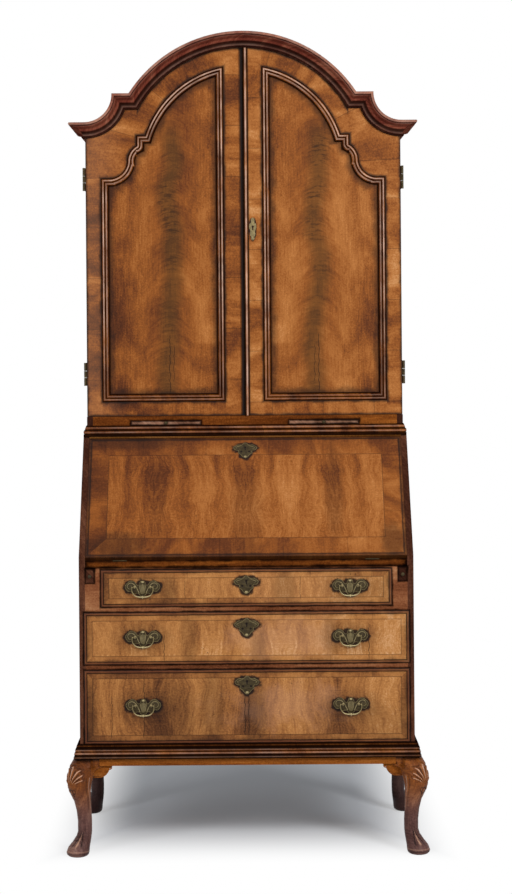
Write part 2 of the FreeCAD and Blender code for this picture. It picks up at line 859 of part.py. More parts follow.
def back_plate(side, face, middle):
    """The batwing plate behind a bail."""
    flat = mirrored_face(BATWING_SHARES, s.handle_width, s.handle_height)
    solid = flat.extrude(V(0, 0, float(s.plate_thick)))
    return feature("back_plate", solid, FreeCAD.Placement(
        at(s.handle_place * side, face, middle), FreeCAD.Rotation(V(1, 0, 0), 90)))


def lock_plate(width, height):
    """A winged plate with its keyhole, flat on Z = 0."""
    flat = mirrored_face(LOCK_PLATE_SHARES, width, height)
    thick = float(s.plate_thick)
    return keyed(flat.extrude(V(0, 0, thick)), float(height) * KEYHOLE_SHARE, thick)


def keyed(plate, level, thick):
    """Cut a keyhole: a round top and a straight slot below it."""
    radius, drop = float(s.keyhole_radius), float(s.keyhole_drop)
    hole = Part.makeCylinder(radius, thick, V(0, level, 0))
    slot = Part.makeBox(radius, drop, thick, V(-radius / 2, level - drop, 0))
    return plate.cut(hole.fuse(slot))


def post(x, face, level):
    """A round post that carries one end of a bail in a cross hole."""
    start = at(x, face - s.plate_thick, level)
    body = Part.makeCylinder(float(s.post_radius), float(s.post_length), start, V(0, -1, 0))
    hole_y = face - s.plate_thick - s.pivot_out
    reach = float(s.post_radius)
    hole = Part.makeCylinder(float(s.pin_radius + s.pin_gap), 4 * reach,
                             at(x, hole_y, level) - V(2 * reach, 0, 0), V(1, 0, 0))
    return feature("bail_post", body.cut(hole))


def bail(x, face, level):
    """A swinging bail: two pins, two cheeks, a bent bow and a small drop below it."""
    half, drop, bend = float(s.bail_half_span), float(s.bail_drop), float(s.bail_bend)
    radius = float(s.bail_radius)
    bar = Part.makeCylinder(radius, 2 * (half - bend), V(bend - half, -drop), V(1, 0, 0))
    parts = []
    for sign in (-1, 1):
        end = V(sign * half, 0)
        profile = Part.Wire([
            Part.LineSegment(V(sign * half, bend - drop), V(sign * half, radius)).toShape(),
            Part.Arc(V(sign * half, radius),
                     V(sign * half + radius * math.sqrt(0.5), radius * math.sqrt(0.5)),
                     V(sign * half + radius, 0)).toShape(),
            Part.LineSegment(V(sign * half + radius, 0), V(sign * half + radius, bend - drop)).toShape(),
            Part.LineSegment(V(sign * half + radius, bend - drop), V(sign * half, bend - drop)).toShape()])
        parts.append(Part.Face(profile).revolve(end, V(0, 1, 0), 360))
        section = Part.Face(Part.Wire([Part.Circle(V(sign * half, bend - drop), V(0, 1, 0), radius).toShape()]))
        parts.append(section.revolve(V(sign * (half - bend), bend - drop), V(0, 0, -sign), 90))
        long = half - float(s.post_place - s.post_radius)
        parts.append(Part.makeCylinder(float(s.pin_radius), long, end, V(-sign, 0, 0)))
    parts.append(Part.makeSphere(float(s.bail_bead_radius), V(0, -drop), V(1, 0, 0)))
    whole = bar.multiFuse(parts)
    place = FreeCAD.Placement(at(x, face - s.plate_thick - s.pivot_out, level),
                              FreeCAD.Rotation(V(1, 0, 0), 90))
    return feature("bail_bow", whole.Solids[0], place)


def drawers():
    drawer("drawer_bottom", half_inside, low_floor, s.low_opening)
    drawer("drawer_middle", half_inside, middle_floor, s.middle_opening)
    drawer("drawer_top", stile_in, high_floor, s.high_opening)


# Desk interior

def interior():
    """Pigeonholes over two small drawers, set back behind the sloping fall."""
    thick = s.interior_thick
    face = front + s.interior_setback
    low, high = desk_top, s.bureau_height - s.bureau_top_thick
    depth = (face, back_face)
    half = half_inside - s.fit_gap
    shelf = low + s.small_drawer_height + s.slide_gap * 2
    pieces = [board("interior_side", sided(side, half - thick, half), depth, (low, high))
              for side in (-1, 1)]
    inner = half - thick
    pieces.append(board("interior_shelf", (-inner, inner), depth, (shelf, shelf + thick)))
    pieces.append(board("interior_top", (-inner, inner), depth, (high - thick, high)))
    for side in (-1, 1):
        edge = inner - s.small_drawer_width - s.slide_gap * 2
        pieces.append(board("drawer_divider", sided(side, edge - thick, edge), depth, (low, shelf)))
    pitch = inner * 2 / PIGEONHOLES
    for i in range(1, PIGEONHOLES):
        x = pitch * i - inner
        pieces.append(board("pigeonhole_divider", (x - thick / 2, x + thick / 2), depth,
                            (shelf + thick, high - thick)))
    node("pigeonhole_unit", *pieces)
    for side in (-1, 1):
        small_drawer(side, inner - s.slide_gap - s.small_drawer_width, face, low + s.slide_gap)


def small_drawer(side, edge, face, low):
    wall, wide, long = s.small_drawer_wall, s.small_drawer_width, s.small_drawer_length
    high = low + s.small_drawer_height
    def span(near, far):
        return sided(side, edge + near, edge + far)
    end = face + long
    pieces = [
        board("small_front", span(0, wide), (face, face + wall), (low, high)),
        board("small_side", span(0, wall), (face + wall, end), (low, high)),
        board("small_side", span(wide - wall, wide), (face + wall, end), (low, high)),
        board("small_back", span(wall, wide - wall), (end - wall, end), (low, high)),
        board("small_bottom", span(wall, wide - wall), (face + wall, end - wall), (low, low + wall)),
        turned_knob(edge + wide / 2, low + s.small_drawer_height / 2, side, face,
                    s.small_knob_radius, s.small_knob_length),
    ]
    node("small_drawer_" + side_name(side), *pieces)


# Bookcase outlines, drawn face on with X across and Y as the height

def crest():
    """The line under the cornice, from the right end over the arch to the left end."""
    half, low = float(half_book), float(shoulder)
    bend, run, step = float(s.shoulder_radius), float(s.shoulder_run), float(s.step_run)
    ledge = low + bend - math.sqrt(bend ** 2 - run ** 2)
    outer, inner = half - run, half - run - step
    hub = V(0, arch_hub())
    points = [(V(half, low), V(half, low + bend)), V(outer, ledge), (V(inner, ledge), hub),
              V(-inner, ledge), (V(-outer, ledge), V(-half, low + bend)), V(-half, low)]
    return outline(points)


def arch_hub():
    bend, run = float(s.shoulder_radius), float(s.shoulder_run)
    foot = float(half_book) - run - float(s.step_run)
    ledge = float(shoulder) + bend - math.sqrt(bend ** 2 - run ** 2)
    return ledge - math.sqrt(float(s.arch_radius) ** 2 - foot ** 2)


def reversed_run(stretches):
    return [Stretch(part.end, part.start, part.centre) for part in reversed(stretches)]


def door_outline():
    """The right half of the bookcase front."""
    shoulder_arc, step, arch = crest()[:3]
    base, half = float(door_base), float(half_book)
    apex = V(0, arch_hub() + float(s.arch_radius))
    half_arch = Stretch(arch.start, apex, arch.centre)
    foot, heel = V(0, base), V(half, base)
    return [Stretch(foot, heel), Stretch(heel, shoulder_arc.start), shoulder_arc, step, half_arch,
            Stretch(apex, foot)]


def ogee_bend(run, drop):
    """Radius of two equal arcs, tilted at the top and level at the foot, that span a drop."""
    tilt = math.radians(float(s.ogee_tilt))
    across, down = math.sin(tilt), 1 + math.cos(tilt)
    square = run ** 2 + drop ** 2
    half_linear = run * across - drop * down
    rest = across ** 2 + down ** 2 - 4
    return square / (math.sqrt(half_linear ** 2 - square * rest) - half_linear)


def panel_outline():
    """The outer edge of the right door's panel moulding."""
    near, far = float(s.meeting_stile), float(half_book - s.outer_stile)
    low, hub = float(door_base + s.bottom_rail), arch_hub()
    bow = float(s.arch_radius - s.arch_rail)
    ledge, step = hub + float(s.panel_step_rise), float(s.panel_step_half)
    dip = ledge - float(s.panel_step_drop)
    end = far - float(s.panel_moulding_width + s.panel_ledge)
    toe = dip - float(s.ogee_drop)
    bend = ogee_bend(end - step, dip - toe)
    upper_hub = V(end, toe + bend)
    tilt = math.radians(float(s.ogee_tilt))
    lower_hub = V(step - bend * math.sin(tilt), dip - bend * math.cos(tilt))
    middle = (upper_hub + lower_hub) / 2
    arch_foot = V(math.sqrt(bow ** 2 - (ledge - hub) ** 2), ledge)
    points = [V(near, low), V(far, low), V(far, toe), (V(end, toe), upper_hub),
              (middle, lower_hub), V(step, dip), V(step, ledge), (arch_foot, V(0, hub)),
              V(near, hub + math.sqrt(bow ** 2 - near ** 2))]
    return outline(points, closed=True)


# Bookcase case

def bookcase_case():
    profile = [(door_front, s.bureau_height), (door_front, door_base), (case_front, door_base),
               (case_front, shoulder), (back_face, shoulder), (back_face, s.bureau_height)]
    for side in (-1, 1):
        low, high = sided(side, book_inside, half_book)
        name = "bookcase_side_" + side_name(side)
        node(name, padded(name + "_board", "YZ_Plane", profile, low, high - low))
    inside = (-book_inside, book_inside)
    depth = (door_front, back_face)
    under = plinth_top - s.floor_thick
    low = (s.bureau_height, under)
    edge = s.slide_place + s.slide_width / 2 + s.fit_gap
    near = s.slide_place - s.slide_width / 2 - s.fit_gap
    room = (plinth_top, slide_top)
    pieces = [
        board("plinth_front", inside, (door_front, door_front + s.plinth_thick), low),
        board("plinth_back", inside, (back_face - s.plinth_thick, back_face), low),
        board("slide_bed", inside, depth, (under, plinth_top)),
        board("slide_spacer", (-near, near), depth, room),
        board("slide_spacer", (edge, book_inside), depth, room),
        board("slide_spacer", (-book_inside, -edge), depth, room),
        board("bookcase_floor", inside, depth, (slide_top, door_base)),
    ]
    node("bookcase_bottom", *pieces)
    top = crest()
    whole = [Stretch(top[-1].end, V(-float(half_book), float(s.bureau_height))),
             Stretch(V(-float(half_book), float(s.bureau_height)),
                     V(float(half_book), float(s.bureau_height))),
             Stretch(V(float(half_book), float(s.bureau_height)), top[0].start)] + top
    node("bookcase_back", feature("bookcase_back_board", *slab(moved_face(whole), back_face, back)))
    rect = [(0, 0), (float(s.roof_thick), 0), (float(s.roof_thick), float(back - door_front)),
            (0, float(back - door_front))]
    lengths = moulding(reversed_run(top), rect)
    node("bookcase_roof", *[feature("roof_board", piece, upright(back)) for piece in lengths])
    shelves = []
    for count in range(1, SHELVES + 1):
        level = door_base + s.shelf_spacing * count
        shelves.append(board("shelf", inside, (case_front + s.shelf_setback, back_face),
                             (level, level + s.shelf_thick)))
    node("shelves", *shelves)


def cornice():
    """Mitred lengths across the front and a straight return down each side."""
    profile = in_sizes(CORNICE_SHARES, s.cornice_height, s.cornice_reach)
    run = reversed_run(crest())
    lead = V(float(s.cornice_reach), 0)
    run = [Stretch(run[0].start - lead, run[0].start)] + run + [Stretch(run[-1].end, run[-1].end + lead)]
    slant = math.sqrt(0.5)
    front_lengths = moulding(run, profile)
    ends = [(V(-float(half_book), float(shoulder)), V(-slant, 0, -slant)),
            (V(float(half_book), float(shoulder)), V(slant, 0, -slant))]
    reach = 3 * float(s.cornice_reach)
    front_lengths[0] = trimmed(front_lengths[0], *ends[0], reach)
    front_lengths[-1] = trimmed(front_lengths[-1], *ends[1], reach)
    pieces = [feature("cornice_length", solid, upright(door_front)) for solid in front_lengths]
    for side in (-1, 1):
        pieces.append(feature("cornice_return", cornice_return(side, profile)))
    node("cornice", *pieces)


def cornice_return(side, profile):
    start = at(half_book * side, door_front - s.cornice_reach, shoulder)
    face = profile_face(profile, V(0, 0), V(0, 1))
    outward = V(side, 0, 0)
    frame = FreeCAD.Rotation(V(0, 0, 1).cross(outward), V(0, 0, 1), outward, "ZYX")
    face.Placement = FreeCAD.Placement(start, frame)
    solid = face.extrude(at(0, back - door_front + s.cornice_reach))
    slant = math.sqrt(0.5)
    corner_place = at(half_book * side, door_front, shoulder - s.cornice_height)
    outer = V(-side * slant, -slant, 0)
    return solid.cut(Part.makeCylinder(3 * float(s.cornice_reach), 3 * float(s.cornice_reach),
                                       corner_place, outer))


def candle_slides():
    for side in (-1, 1):
        name = "candle_slide_" + side_name(side)
        low = s.slide_place - s.slide_width / 2
        span = sided(side, low, low + s.slide_width)
        node(name, board(name + "_board", span, (door_front, door_front + s.slide_length),
                         (plinth_top + s.fit_gap, slide_top - s.fit_gap)))
        knob = turned_knob(s.slide_place, plinth_top + s.slide_room / 2, side, door_front)
        node(name + "_knob", knob)


# Doors

def facing(side, shape):
    """A face-on shape of the right door, or its mirror image for the left door."""
    return shape if side > 0 else shape.mirror(V(0, 0, 0), V(1, 0, 0))


def door(side):
    name = "door_" + side_name(side)
    thick = float(s.door_thick)
    front_place, back_place = upright(door_front), upright(door_back)
    leaf = moved_face(door_outline(), float(s.door_gap)).extrude(V(0, 0, thick))
    opening = moved_face(panel_outline(), float(s.frame_lap))
    frame = leaf.cut(opening.extrude(V(0, 0, thick)))
    if side < 0:
        channel = Part.makeBox(
            float(s.channel_width), leaf.BoundBox.YLength, float(s.channel_depth),
            V(float(s.door_gap), leaf.BoundBox.YMin, thick - float(s.channel_depth)))
        frame = frame.cut(channel)
    node(name + "_frame", feature(name + "_frame_wood", facing(side, frame.Solids[0]), back_place))
    panel = opening.extrude(V(0, 0, float(s.panel_thick)))
    sunk = upright(door_front + s.panel_setback + s.panel_thick)
    node(name + "_panel", feature(name + "_panel_wood", facing(side, panel), sunk))
    width, lap, sink = float(s.panel_moulding_width), float(s.frame_lap), float(s.panel_setback)
    profile = in_sizes(PANEL_SHARES, width, s.panel_moulding_rise)
    profile += [(width, -sink), (lap, -sink), (lap, 0)]
    lengths = moulding(panel_outline(), profile, closed=True)
    node(name + "_moulding", *[feature("panel_moulding_length", facing(side, piece), front_place)
                               for piece in lengths])


def door_leaf_box(side, level, y_low, y_high, x_low, x_high, low_share, high_share):
    tall = s.door_hinge_height
    low, high = level + tall * low_share, level + tall * high_share
    left, right = sided(side, x_low, x_high)
    return Part.makeBox(float(right - left), float(y_high - y_low), float(high - low),
                        at(left, y_low, low))


def door_knuckle(side, level, low_share, high_share):
    tall = float(s.door_hinge_height)
    place = at(door_pin_x * side, door_pin_y, level) + V(0, 0, tall * low_share)
    return Part.makeCylinder(float(s.door_knuckle_radius), tall * (high_share - low_share), place)


def moving_hinge(side, level):
    """The door's half of a hinge: a leaf on its edge and the middle knuckle."""
    edge = half_book - s.door_gap
    low, high = HINGE_SHARES
    leaf = door_leaf_box(side, level, door_pin_y, door_front + s.door_leaf_length,
                         edge, edge + s.door_leaf_thick, low, high)
    tab = door_leaf_box(side, level, door_pin_y, door_pin_y + s.door_leaf_thick,
                        edge, door_pin_x, low, high)
    return leaf.multiFuse([tab, door_knuckle(side, level, low, high)]).removeSplitter().Solids[0]


def fixed_hinge(side, level):
    """The case's half: a leaf on the side board and the outer knuckles."""
    low, high = HINGE_SHARES
    gap = HINGE_GAP_SHARE
    inner, outer = half_book, half_book + s.door_leaf_thick
    leaf = door_leaf_box(side, level, case_front, case_front + s.door_leaf_length, inner, outer, 0, 1)
    parts = []
    for bottom, top in ((0, low - gap), (high + gap, 1)):
        parts.append(door_leaf_box(side, level, door_pin_y, case_front, inner, outer, bottom, top))
        parts.append(door_knuckle(side, level, bottom, top))
    return leaf.multiFuse(parts).removeSplitter().Solids[0]


def hinge_levels():
    return [door_base + s.door_hinge_low, door_base + s.door_hinge_high]


def door_brasses():
    for side in (-1, 1):
        pieces = [feature("door_hinge", moving_hinge(side, level)) for level in hinge_levels()]
        if side > 0:
            flat = mirrored_face(DOOR_PLATE_SHARES, s.door_plate_width, s.door_plate_height)
            thick = float(s.plate_thick)
            plate = keyed(flat.extrude(V(0, 0, thick)), float(s.door_plate_height) * KEYHOLE_SHARE, thick)
            place = FreeCAD.Placement(at(s.door_plate_place, door_front, door_base + s.door_plate_level),
                                      FreeCAD.Rotation(V(1, 0, 0), 90))
            pieces.append(feature("door_lock_plate", plate, place))
        node("door_" + side_name(side) + "_brasses", *pieces)
    pieces = [feature("case_door_hinge", fixed_hinge(side, level))
              for side in (-1, 1) for level in hinge_levels()]
    pieces += [feature("case_fall_leaf", case_leaf(side)) for side in (-1, 1)]
    node("case_hinges", *pieces)


def astragal():
    """The half-round strip down the right door's meeting edge."""
    wide, rise = float(s.astragal_width), float(s.astragal_rise)
    low = float(s.astragal_offset)
    blank = moved_face(door_outline(), float(s.door_gap)).extrude(V(0, 0, rise))
    box = blank.BoundBox
    start = V(low, box.YMin)
    rows = [(0, 0), (0, 0.35, 0.06, 0.8), (0.3, 1.0), (0.7, 1.0, 0.94, 0.8), (1.0, 0.35), (1.0, 0)]
    places = [start + V(row[0] * wide, 0, row[1] * rise) for row in rows]
    edges = []
    for row, here, following in zip(rows, places, places[1:] + places[:1]):
        if len(row) == 4:
            through = start + V(row[2] * wide, 0, row[3] * rise)
            edges.append(Part.Arc(here, through, following).toShape())
        else:
            edges.append(Part.LineSegment(here, following).toShape())
    bar = Part.Face(Part.Wire(edges)).extrude(V(0, box.YLength))
    strip = bar.common(blank)
    node("door_astragal", feature("astragal_strip", strip.Solids[0], upright(door_front)))


def check_and_write():
    doc.recompute()
    for thing in doc.Objects:
        if "Invalid" in thing.State or "Error" in thing.State:
            raise RuntimeError(f"{thing.Label}: {thing.State}")
    os.makedirs("parts", exist_ok=True)
    for whole in nodes:
        shape = whole.Shape
        if shape.isNull() or not shape.isValid():
            raise RuntimeError(whole.Label + " has no valid shape")
        shape.exportStep(f"parts/{whole.Label}.step")
        print(whole.Label, len(shape.Solids), round(shape.Volume))
    print(len(nodes), "sub-parts")


def main():
    stand()
    bureau_case()
    drawer_framing()
    writing_board()
    lopers()
    fall()
    drawers()
    interior()
    around_case("waist_moulding", half_book, door_front, s.bureau_height,
                in_sizes(WAIST_SHARES, s.waist_reach, s.plinth_height))
    bookcase_case()
    cornice()
    candle_slides()
    for side in (-1, 1):
        door(side)
    astragal()
    door_brasses()
    check_and_write()


main()
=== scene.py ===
"""The looks of an old walnut bureau bookcase: veneers, carving, mouldings and brasses."""

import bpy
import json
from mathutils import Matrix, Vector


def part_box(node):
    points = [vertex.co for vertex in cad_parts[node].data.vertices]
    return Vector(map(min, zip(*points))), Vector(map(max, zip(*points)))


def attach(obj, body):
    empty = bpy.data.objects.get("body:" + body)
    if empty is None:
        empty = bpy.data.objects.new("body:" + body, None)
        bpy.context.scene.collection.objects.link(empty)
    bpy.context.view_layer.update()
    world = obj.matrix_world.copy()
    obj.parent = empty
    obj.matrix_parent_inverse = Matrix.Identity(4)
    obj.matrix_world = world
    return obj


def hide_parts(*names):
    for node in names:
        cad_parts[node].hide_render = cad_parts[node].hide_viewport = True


bl_info = {
    "name": "Bureau bookcase finish",
    "version": (1, 0, 0),
    "blender": (4, 5, 0),
    "location": "View3D > Sidebar > Bureau",
    "description": "Dresses a walnut bureau bookcase in old veneer, carving and brass",
    "category": "Object",
}

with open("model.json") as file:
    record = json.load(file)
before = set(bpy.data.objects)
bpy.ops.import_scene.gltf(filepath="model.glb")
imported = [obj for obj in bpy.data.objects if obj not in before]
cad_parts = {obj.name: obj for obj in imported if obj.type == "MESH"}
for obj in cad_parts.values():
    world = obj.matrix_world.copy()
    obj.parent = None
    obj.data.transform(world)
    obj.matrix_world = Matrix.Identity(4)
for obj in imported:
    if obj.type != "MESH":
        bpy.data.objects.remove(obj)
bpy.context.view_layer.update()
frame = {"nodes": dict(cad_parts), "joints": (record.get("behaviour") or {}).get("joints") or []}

import json
import math

import bmesh
import bpy
from mathutils import Vector

MM = 0.001
NODES = frame["nodes"]
JOINTS = {joint["name"]: joint for joint in frame["joints"]}
SIDES = {"left": -1, "right": 1}
DRAWERS = ("drawer_bottom", "drawer_middle", "drawer_top")

# Places taken from the frame: the fall's pin and slope, the case's corners and the doors

FALL_PIN = Vector(JOINTS["fall_hinge"]["pos_m"])
FALL_SLOPE = math.radians(180 - JOINTS["fall_hinge"]["range_deg"][1])
FALL_LOW, FALL_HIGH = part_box("fall_board")
FALL_THICK = (FALL_PIN.y - FALL_LOW.y) / math.sin(FALL_SLOPE)
FALL_LENGTH = (FALL_HIGH.z - FALL_PIN.z - FALL_THICK * math.cos(FALL_SLOPE)) / math.sin(FALL_SLOPE)
CASE_LOW, CASE_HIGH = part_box("bureau_side_right")
DOOR_LOW, DOOR_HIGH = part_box("door_right_frame")
TRIM_LOW, TRIM_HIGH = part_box("door_right_moulding")
STAND_LOW, STAND_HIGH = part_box("stand_moulding")
WAIST_LOW, WAIST_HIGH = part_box("waist_moulding")

# The doors' arch stands on a hub on the middle line. The panel's moulding runs round the
# arch to a ledge, down a step to a dip, then round and into a hollow down to a toe.
ARCH_HUB = 1803.1 * MM
TRIM_ARCH = math.hypot(TRIM_HIGH.z - ARCH_HUB, TRIM_LOW.x)
TRIM_WIDTH = 21.5 * MM
SHOULDER_LEDGE = ARCH_HUB + 90 * MM
SHOULDER_STEP = 288 * MM
SHOULDER_DIP = SHOULDER_LEDGE - 28 * MM
SHOULDER_END = TRIM_HIGH.x - TRIM_WIDTH - 1 * MM
SHOULDER_TOE = SHOULDER_DIP - 88 * MM
SHOULDER_TILT = math.radians(30)
SHOULDER_BEND = 49 * MM


# Sizes and colours to change

class BureauFinish(bpy.types.PropertyGroup):
    """Colours and small sizes of the finish"""
    band: bpy.props.FloatProperty(
        name="Crossband", description="Width of the crossband round the fall",
        default=54 * MM, unit="LENGTH")
    leaf: bpy.props.FloatProperty(
        name="Leaf", description="Width of one leaf of the fall's veneer",
        default=117 * MM, unit="LENGTH")
    line: bpy.props.FloatProperty(
        name="Line", description="Width of the dark line inside a crossband",
        default=1.6 * MM, unit="LENGTH")
    carving: bpy.props.FloatProperty(
        name="Carving", description="Depth of the shell on the front knees",
        default=3.4 * MM, unit="LENGTH")
    lip: bpy.props.FloatProperty(
        name="Lip", description="Width of the moulded lip round a drawer front",
        default=6.5 * MM, unit="LENGTH")
    floor: bpy.props.FloatVectorProperty(
        name="Floor", description="Colour of the paper that the piece stands on",
        default=(0.84, 0.88, 0.94), size=3, min=0, max=1, subtype="COLOR")


# Colour and shader nodes

# The two kinds of map range: one that eases at both ends, and a straight one
EASED = "MapRange.SMOOTHSTEP"
EVEN = "MapRange.LINEAR"


def linear(hex_colour):
    """A colour written in sRGB hex, as the linear RGBA that a shader takes."""
    parts = [int(hex_colour[i:i + 2], 16) / 255 for i in (1, 3, 5)]
    return [v / 12.92 if v <= 0.04045 else ((v + 0.055) / 1.055) ** 2.4 for v in parts] + [1.0]


def add(tree, kind, *inputs, out=None, stops=(), **settings):
    """Add a shader node and give back its output, or the outputs that out names.

    The inputs fill its sockets in order, by link or by value, and three numbers with a
    link among them are combined first. A word after a dot in the kind is the node's
    operation, or how a map range eases.
    """
    kind, _, work = kind.partition(".")
    node = tree.nodes.new("ShaderNode" + kind)
    if work:
        settings["interpolation_type" if kind == "MapRange" else "operation"] = work
    for name, value in settings.items():
        setattr(node, name, value)
    for socket, value in zip([s for s in node.inputs if s.enabled], inputs):
        if isinstance(value, tuple) and any(isinstance(v, bpy.types.NodeSocket) for v in value):
            value = add(tree, "CombineXYZ", *value)
        if isinstance(value, bpy.types.NodeSocket):
            tree.links.new(value, socket)
        elif value is not None:
            socket.default_value = value
    if stops:
        elements = node.color_ramp.elements
        while len(elements) < len(stops):
            elements.new(1.0)
        for element, (place, colour) in zip(elements, stops):
            element.position = place
            element.color = linear(colour)
    if isinstance(out, tuple):
        return [node.outputs[name] for name in out]
    if out:
        return node.outputs[out]
    return next((s for s in node.outputs if s.enabled), None)


def new_material(name, common_name):
    """An empty material whose one shader is named for what it is made of."""
    material = bpy.data.materials.new(name)
    material.use_nodes = True
    tree = material.node_tree
    tree.nodes.clear()
    tree.nodes.new("ShaderNodeOutputMaterial")
    shader = tree.nodes.new("ShaderNodeBsdfPrincipled")
    shader.label = common_name
    tree.links.new(shader.outputs[0], tree.nodes[0].inputs["Surface"])
    return material, tree, shader


def shade(tree, shader, colour, roughness, height=None, relief=0.2 * MM, **values):
    """Link a shader's colour, roughness and bump, and set the rest on its own sockets."""
    for socket, value in (("Base Color", colour), ("Roughness", roughness)):
        if isinstance(value, bpy.types.NodeSocket):
            tree.links.new(value, shader.inputs[socket])
        else:
            shader.inputs[socket].default_value = value
    if height is not None:
        tree.links.new(add(tree, "Bump", 1.0, relief, None, height), shader.inputs["Normal"])
    for name, value in values.items():
        shader.inputs[name.replace("_", " ")].default_value = value


def place_on(tree, origin=(0, 0, 0), tilt=0.0):
    """X, Y and Z of a point of the piece, from an origin and in axes tilted about X."""
    moved = add(tree, "VectorMath.SUBTRACT", add(tree, "TexCoord", out="Object"), tuple(origin))
    turned = add(tree, "Mapping", moved, None, (-tilt, 0, 0)) if tilt else moved
    return add(tree, "SeparateXYZ", turned, out=("X", "Y", "Z"))


def grain_along(tree, axis):
    """Where a point lies across and along a grain that runs along an axis, and its place."""
    x, y, z = place_on(tree)
    first, second, run = {"X": (y, z, x), "Y": (x, z, y), "Z": (x, y, z)}[axis]
    return add(tree, "Math.ADD", first, second), run, (x, y, z)


# Old walnut, from its darkest stain to its brightest figure. Polished walnut shows a warm
# golden brown where it is rubbed and a red-black brown where wax and dirt have stayed.
WALNUT = ("#3B1E0C", "#6C3F1B", "#96602B", "#B67B41", "#D29F69")
# Black-brown, for stains, wax and dust, and for painted shade in hollows, gaps and along rims
DIRT_AND_SHADE = "#120805"
# Under thick old varnish it is redder. Where daylight has bleached it, it is paler.
AMBER = ("#391807", "#693614", "#93531F", "#B57238", "#D09660")
FADED = ("#3C1E0D", "#6E4120", "#9A6232", "#BC8046", "#DBA878")
# Dust has greyed the case's sides. The rails are browner, the candle slides are rubbed
# nearly bare, the cornice is russet and the shins are a dull plum brown.
GREYED = ("#24120D", "#44261B", "#653E2C", "#84573F", "#A87C5E")
BROWN = ("#2E160B", "#58301C", "#804B2F", "#A06A46", "#BE9068")
BARE = ("#4A2A20", "#7A503C", "#A2735A", "#BC8F74", "#D3AE94")
RUSSET = ("#2C0F0C", "#55221A", "#7B3B2C", "#9B5A43", "#BE8468")
PLUM = ("#2C1717", "#4C302C", "#6B4942", "#8A6659", "#AB8678")
# Oak that was never polished is grey-brown.
OAK = ("#33241A", "#5C4431", "#7A5E44", "#96775A", "#B3977B")


def wood(tree, across, along, seed, patch=80 * MM, fine=0.26, contrast=0.22, squat=0.5):
    """Walnut's tone, which is 0.5 on the whole, and the height of its pores.

    Broad patches and narrow streaks are longer along the grain, and a patch's width is
    squat of its length. The pores are drawn four times as coarse as real ones, which
    would not show.
    """
    drawn = add(tree, "Math.MULTIPLY", along, 0.07)
    fibre = add(tree, "TexNoise", (across, drawn, seed), 1 / (4.2 * MM), 5.0, 0.65, 2.1, 0.3)
    slow = add(tree, "Math.MULTIPLY", along, squat)
    cloud = add(tree, "TexNoise", (across, slow, seed + 5), 1 / patch, 4.0, 0.55, 2.0, 0.9)
    mottle = add(tree, "TexNoise", (across, along, seed + 9), 1 / (4.4 * MM), 4.0, 0.7, 2.0, 0.6)
    mixed = add(tree, "Mix", 0.3, add(tree, "Mix", fine, cloud, fibre), mottle)
    tone = add(tree, EVEN, mixed, 0.5 - contrast, 0.5 + contrast, 0.0, 1.0)
    return tone, fibre


def walnut(tree, tone, lift=0.0, palette=WALNUT):
    """A tone as the colours of old polished walnut."""
    lifted = add(tree, "Math.ADD", tone, lift)
    return add(tree, "ValToRGB", lifted, stops=list(zip((0.0, 0.28, 0.5, 0.75, 1.0), palette)))


def dirt_and_shade(tree, colour, amount, tint=DIRT_AND_SHADE):
    """A colour darkened towards black-brown by an amount from 0 to 1: for stains, wax and dust,
    and for painted shade.
    """
    return add(tree, "Mix", amount, colour, linear(tint), data_type="RGBA")


def rubbed(tree, colour, amount, tint="#CFA384"):
    """A colour made pale towards a tint by an amount: for wear where hands and cloths have
    polished it, and for painted highlights.
    """
    return dirt_and_shade(tree, colour, amount, tint)


def edge_dirt_and_shade(tree, colour, distance, reach, strength=0.85):
    """Wax and dust along an edge, with painted shade there too, uneven and within a reach of it.
    """
    uneven = add(tree, "TexNoise", add(tree, "TexCoord", out="Object"), 1 / (38 * MM), 4.0, 0.6)
    off = add(tree, "Math.MULTIPLY_ADD", uneven, -1.6 * reach, 0.8 * reach)
    near = add(tree, "Math.ADD", distance, off)
    return dirt_and_shade(tree, colour, add(tree, EASED, near, 0.0, reach, strength, 0.0))


def satin(tree, shader, colour, tone, pores, gloss=0.13):
    """Waxed wood: a soft sheen that is duller in the dark and open grain."""
    rough = add(tree, EVEN, tone, 0.0, 1.0, 0.52, 0.36)
    shade(tree, shader, colour, rough, pores, 0.12 * MM, Specular_IOR_Level=gloss)


def nearest(tree, edges):
    """The distance of the nearest of several edges, and the place along that edge."""
    (distance, along), others = edges[0], edges[1:]
    for number, (far, place) in enumerate(others, 1):
        nearer = add(tree, "Math.LESS_THAN", far, distance)
        shifted = add(tree, "Math.ADD", place, 0.371 * number)
        along = add(tree, "Mix", nearer, along, shifted)
        distance = add(tree, "Math.MINIMUM", far, distance)
    return distance, along


def rectangle(tree, u, v, low, high):
    """The nearest edge of a rectangle, seen from inside it."""
    return nearest(tree, [
        (add(tree, "Math.SUBTRACT", u, low[0]), v), (add(tree, "Math.SUBTRACT", high[0], u), v),
        (add(tree, "Math.SUBTRACT", v, low[1]), u), (add(tree, "Math.SUBTRACT", high[1], v), u)])


def outside_of(tree, u, v, openings):
    """The distance from the nearest of several rectangles, seen from outside them."""
    closest = None
    for low, high in openings:
        inside, _ = rectangle(tree, u, v, low, high)
        away = add(tree, "Math.MULTIPLY", inside, -1.0)
        closest = away if closest is None else add(tree, "Math.MINIMUM", closest, away)
    return closest


def thin_line(tree, value, at, width, strength=0.8):
    """How dark a thin line is, where a value comes to a given number."""
    off = add(tree, "Math.ABSOLUTE", add(tree, "Math.SUBTRACT", value, at))
    return add(tree, EASED, off, width * 0.3, width * 0.8, strength, 0.0)


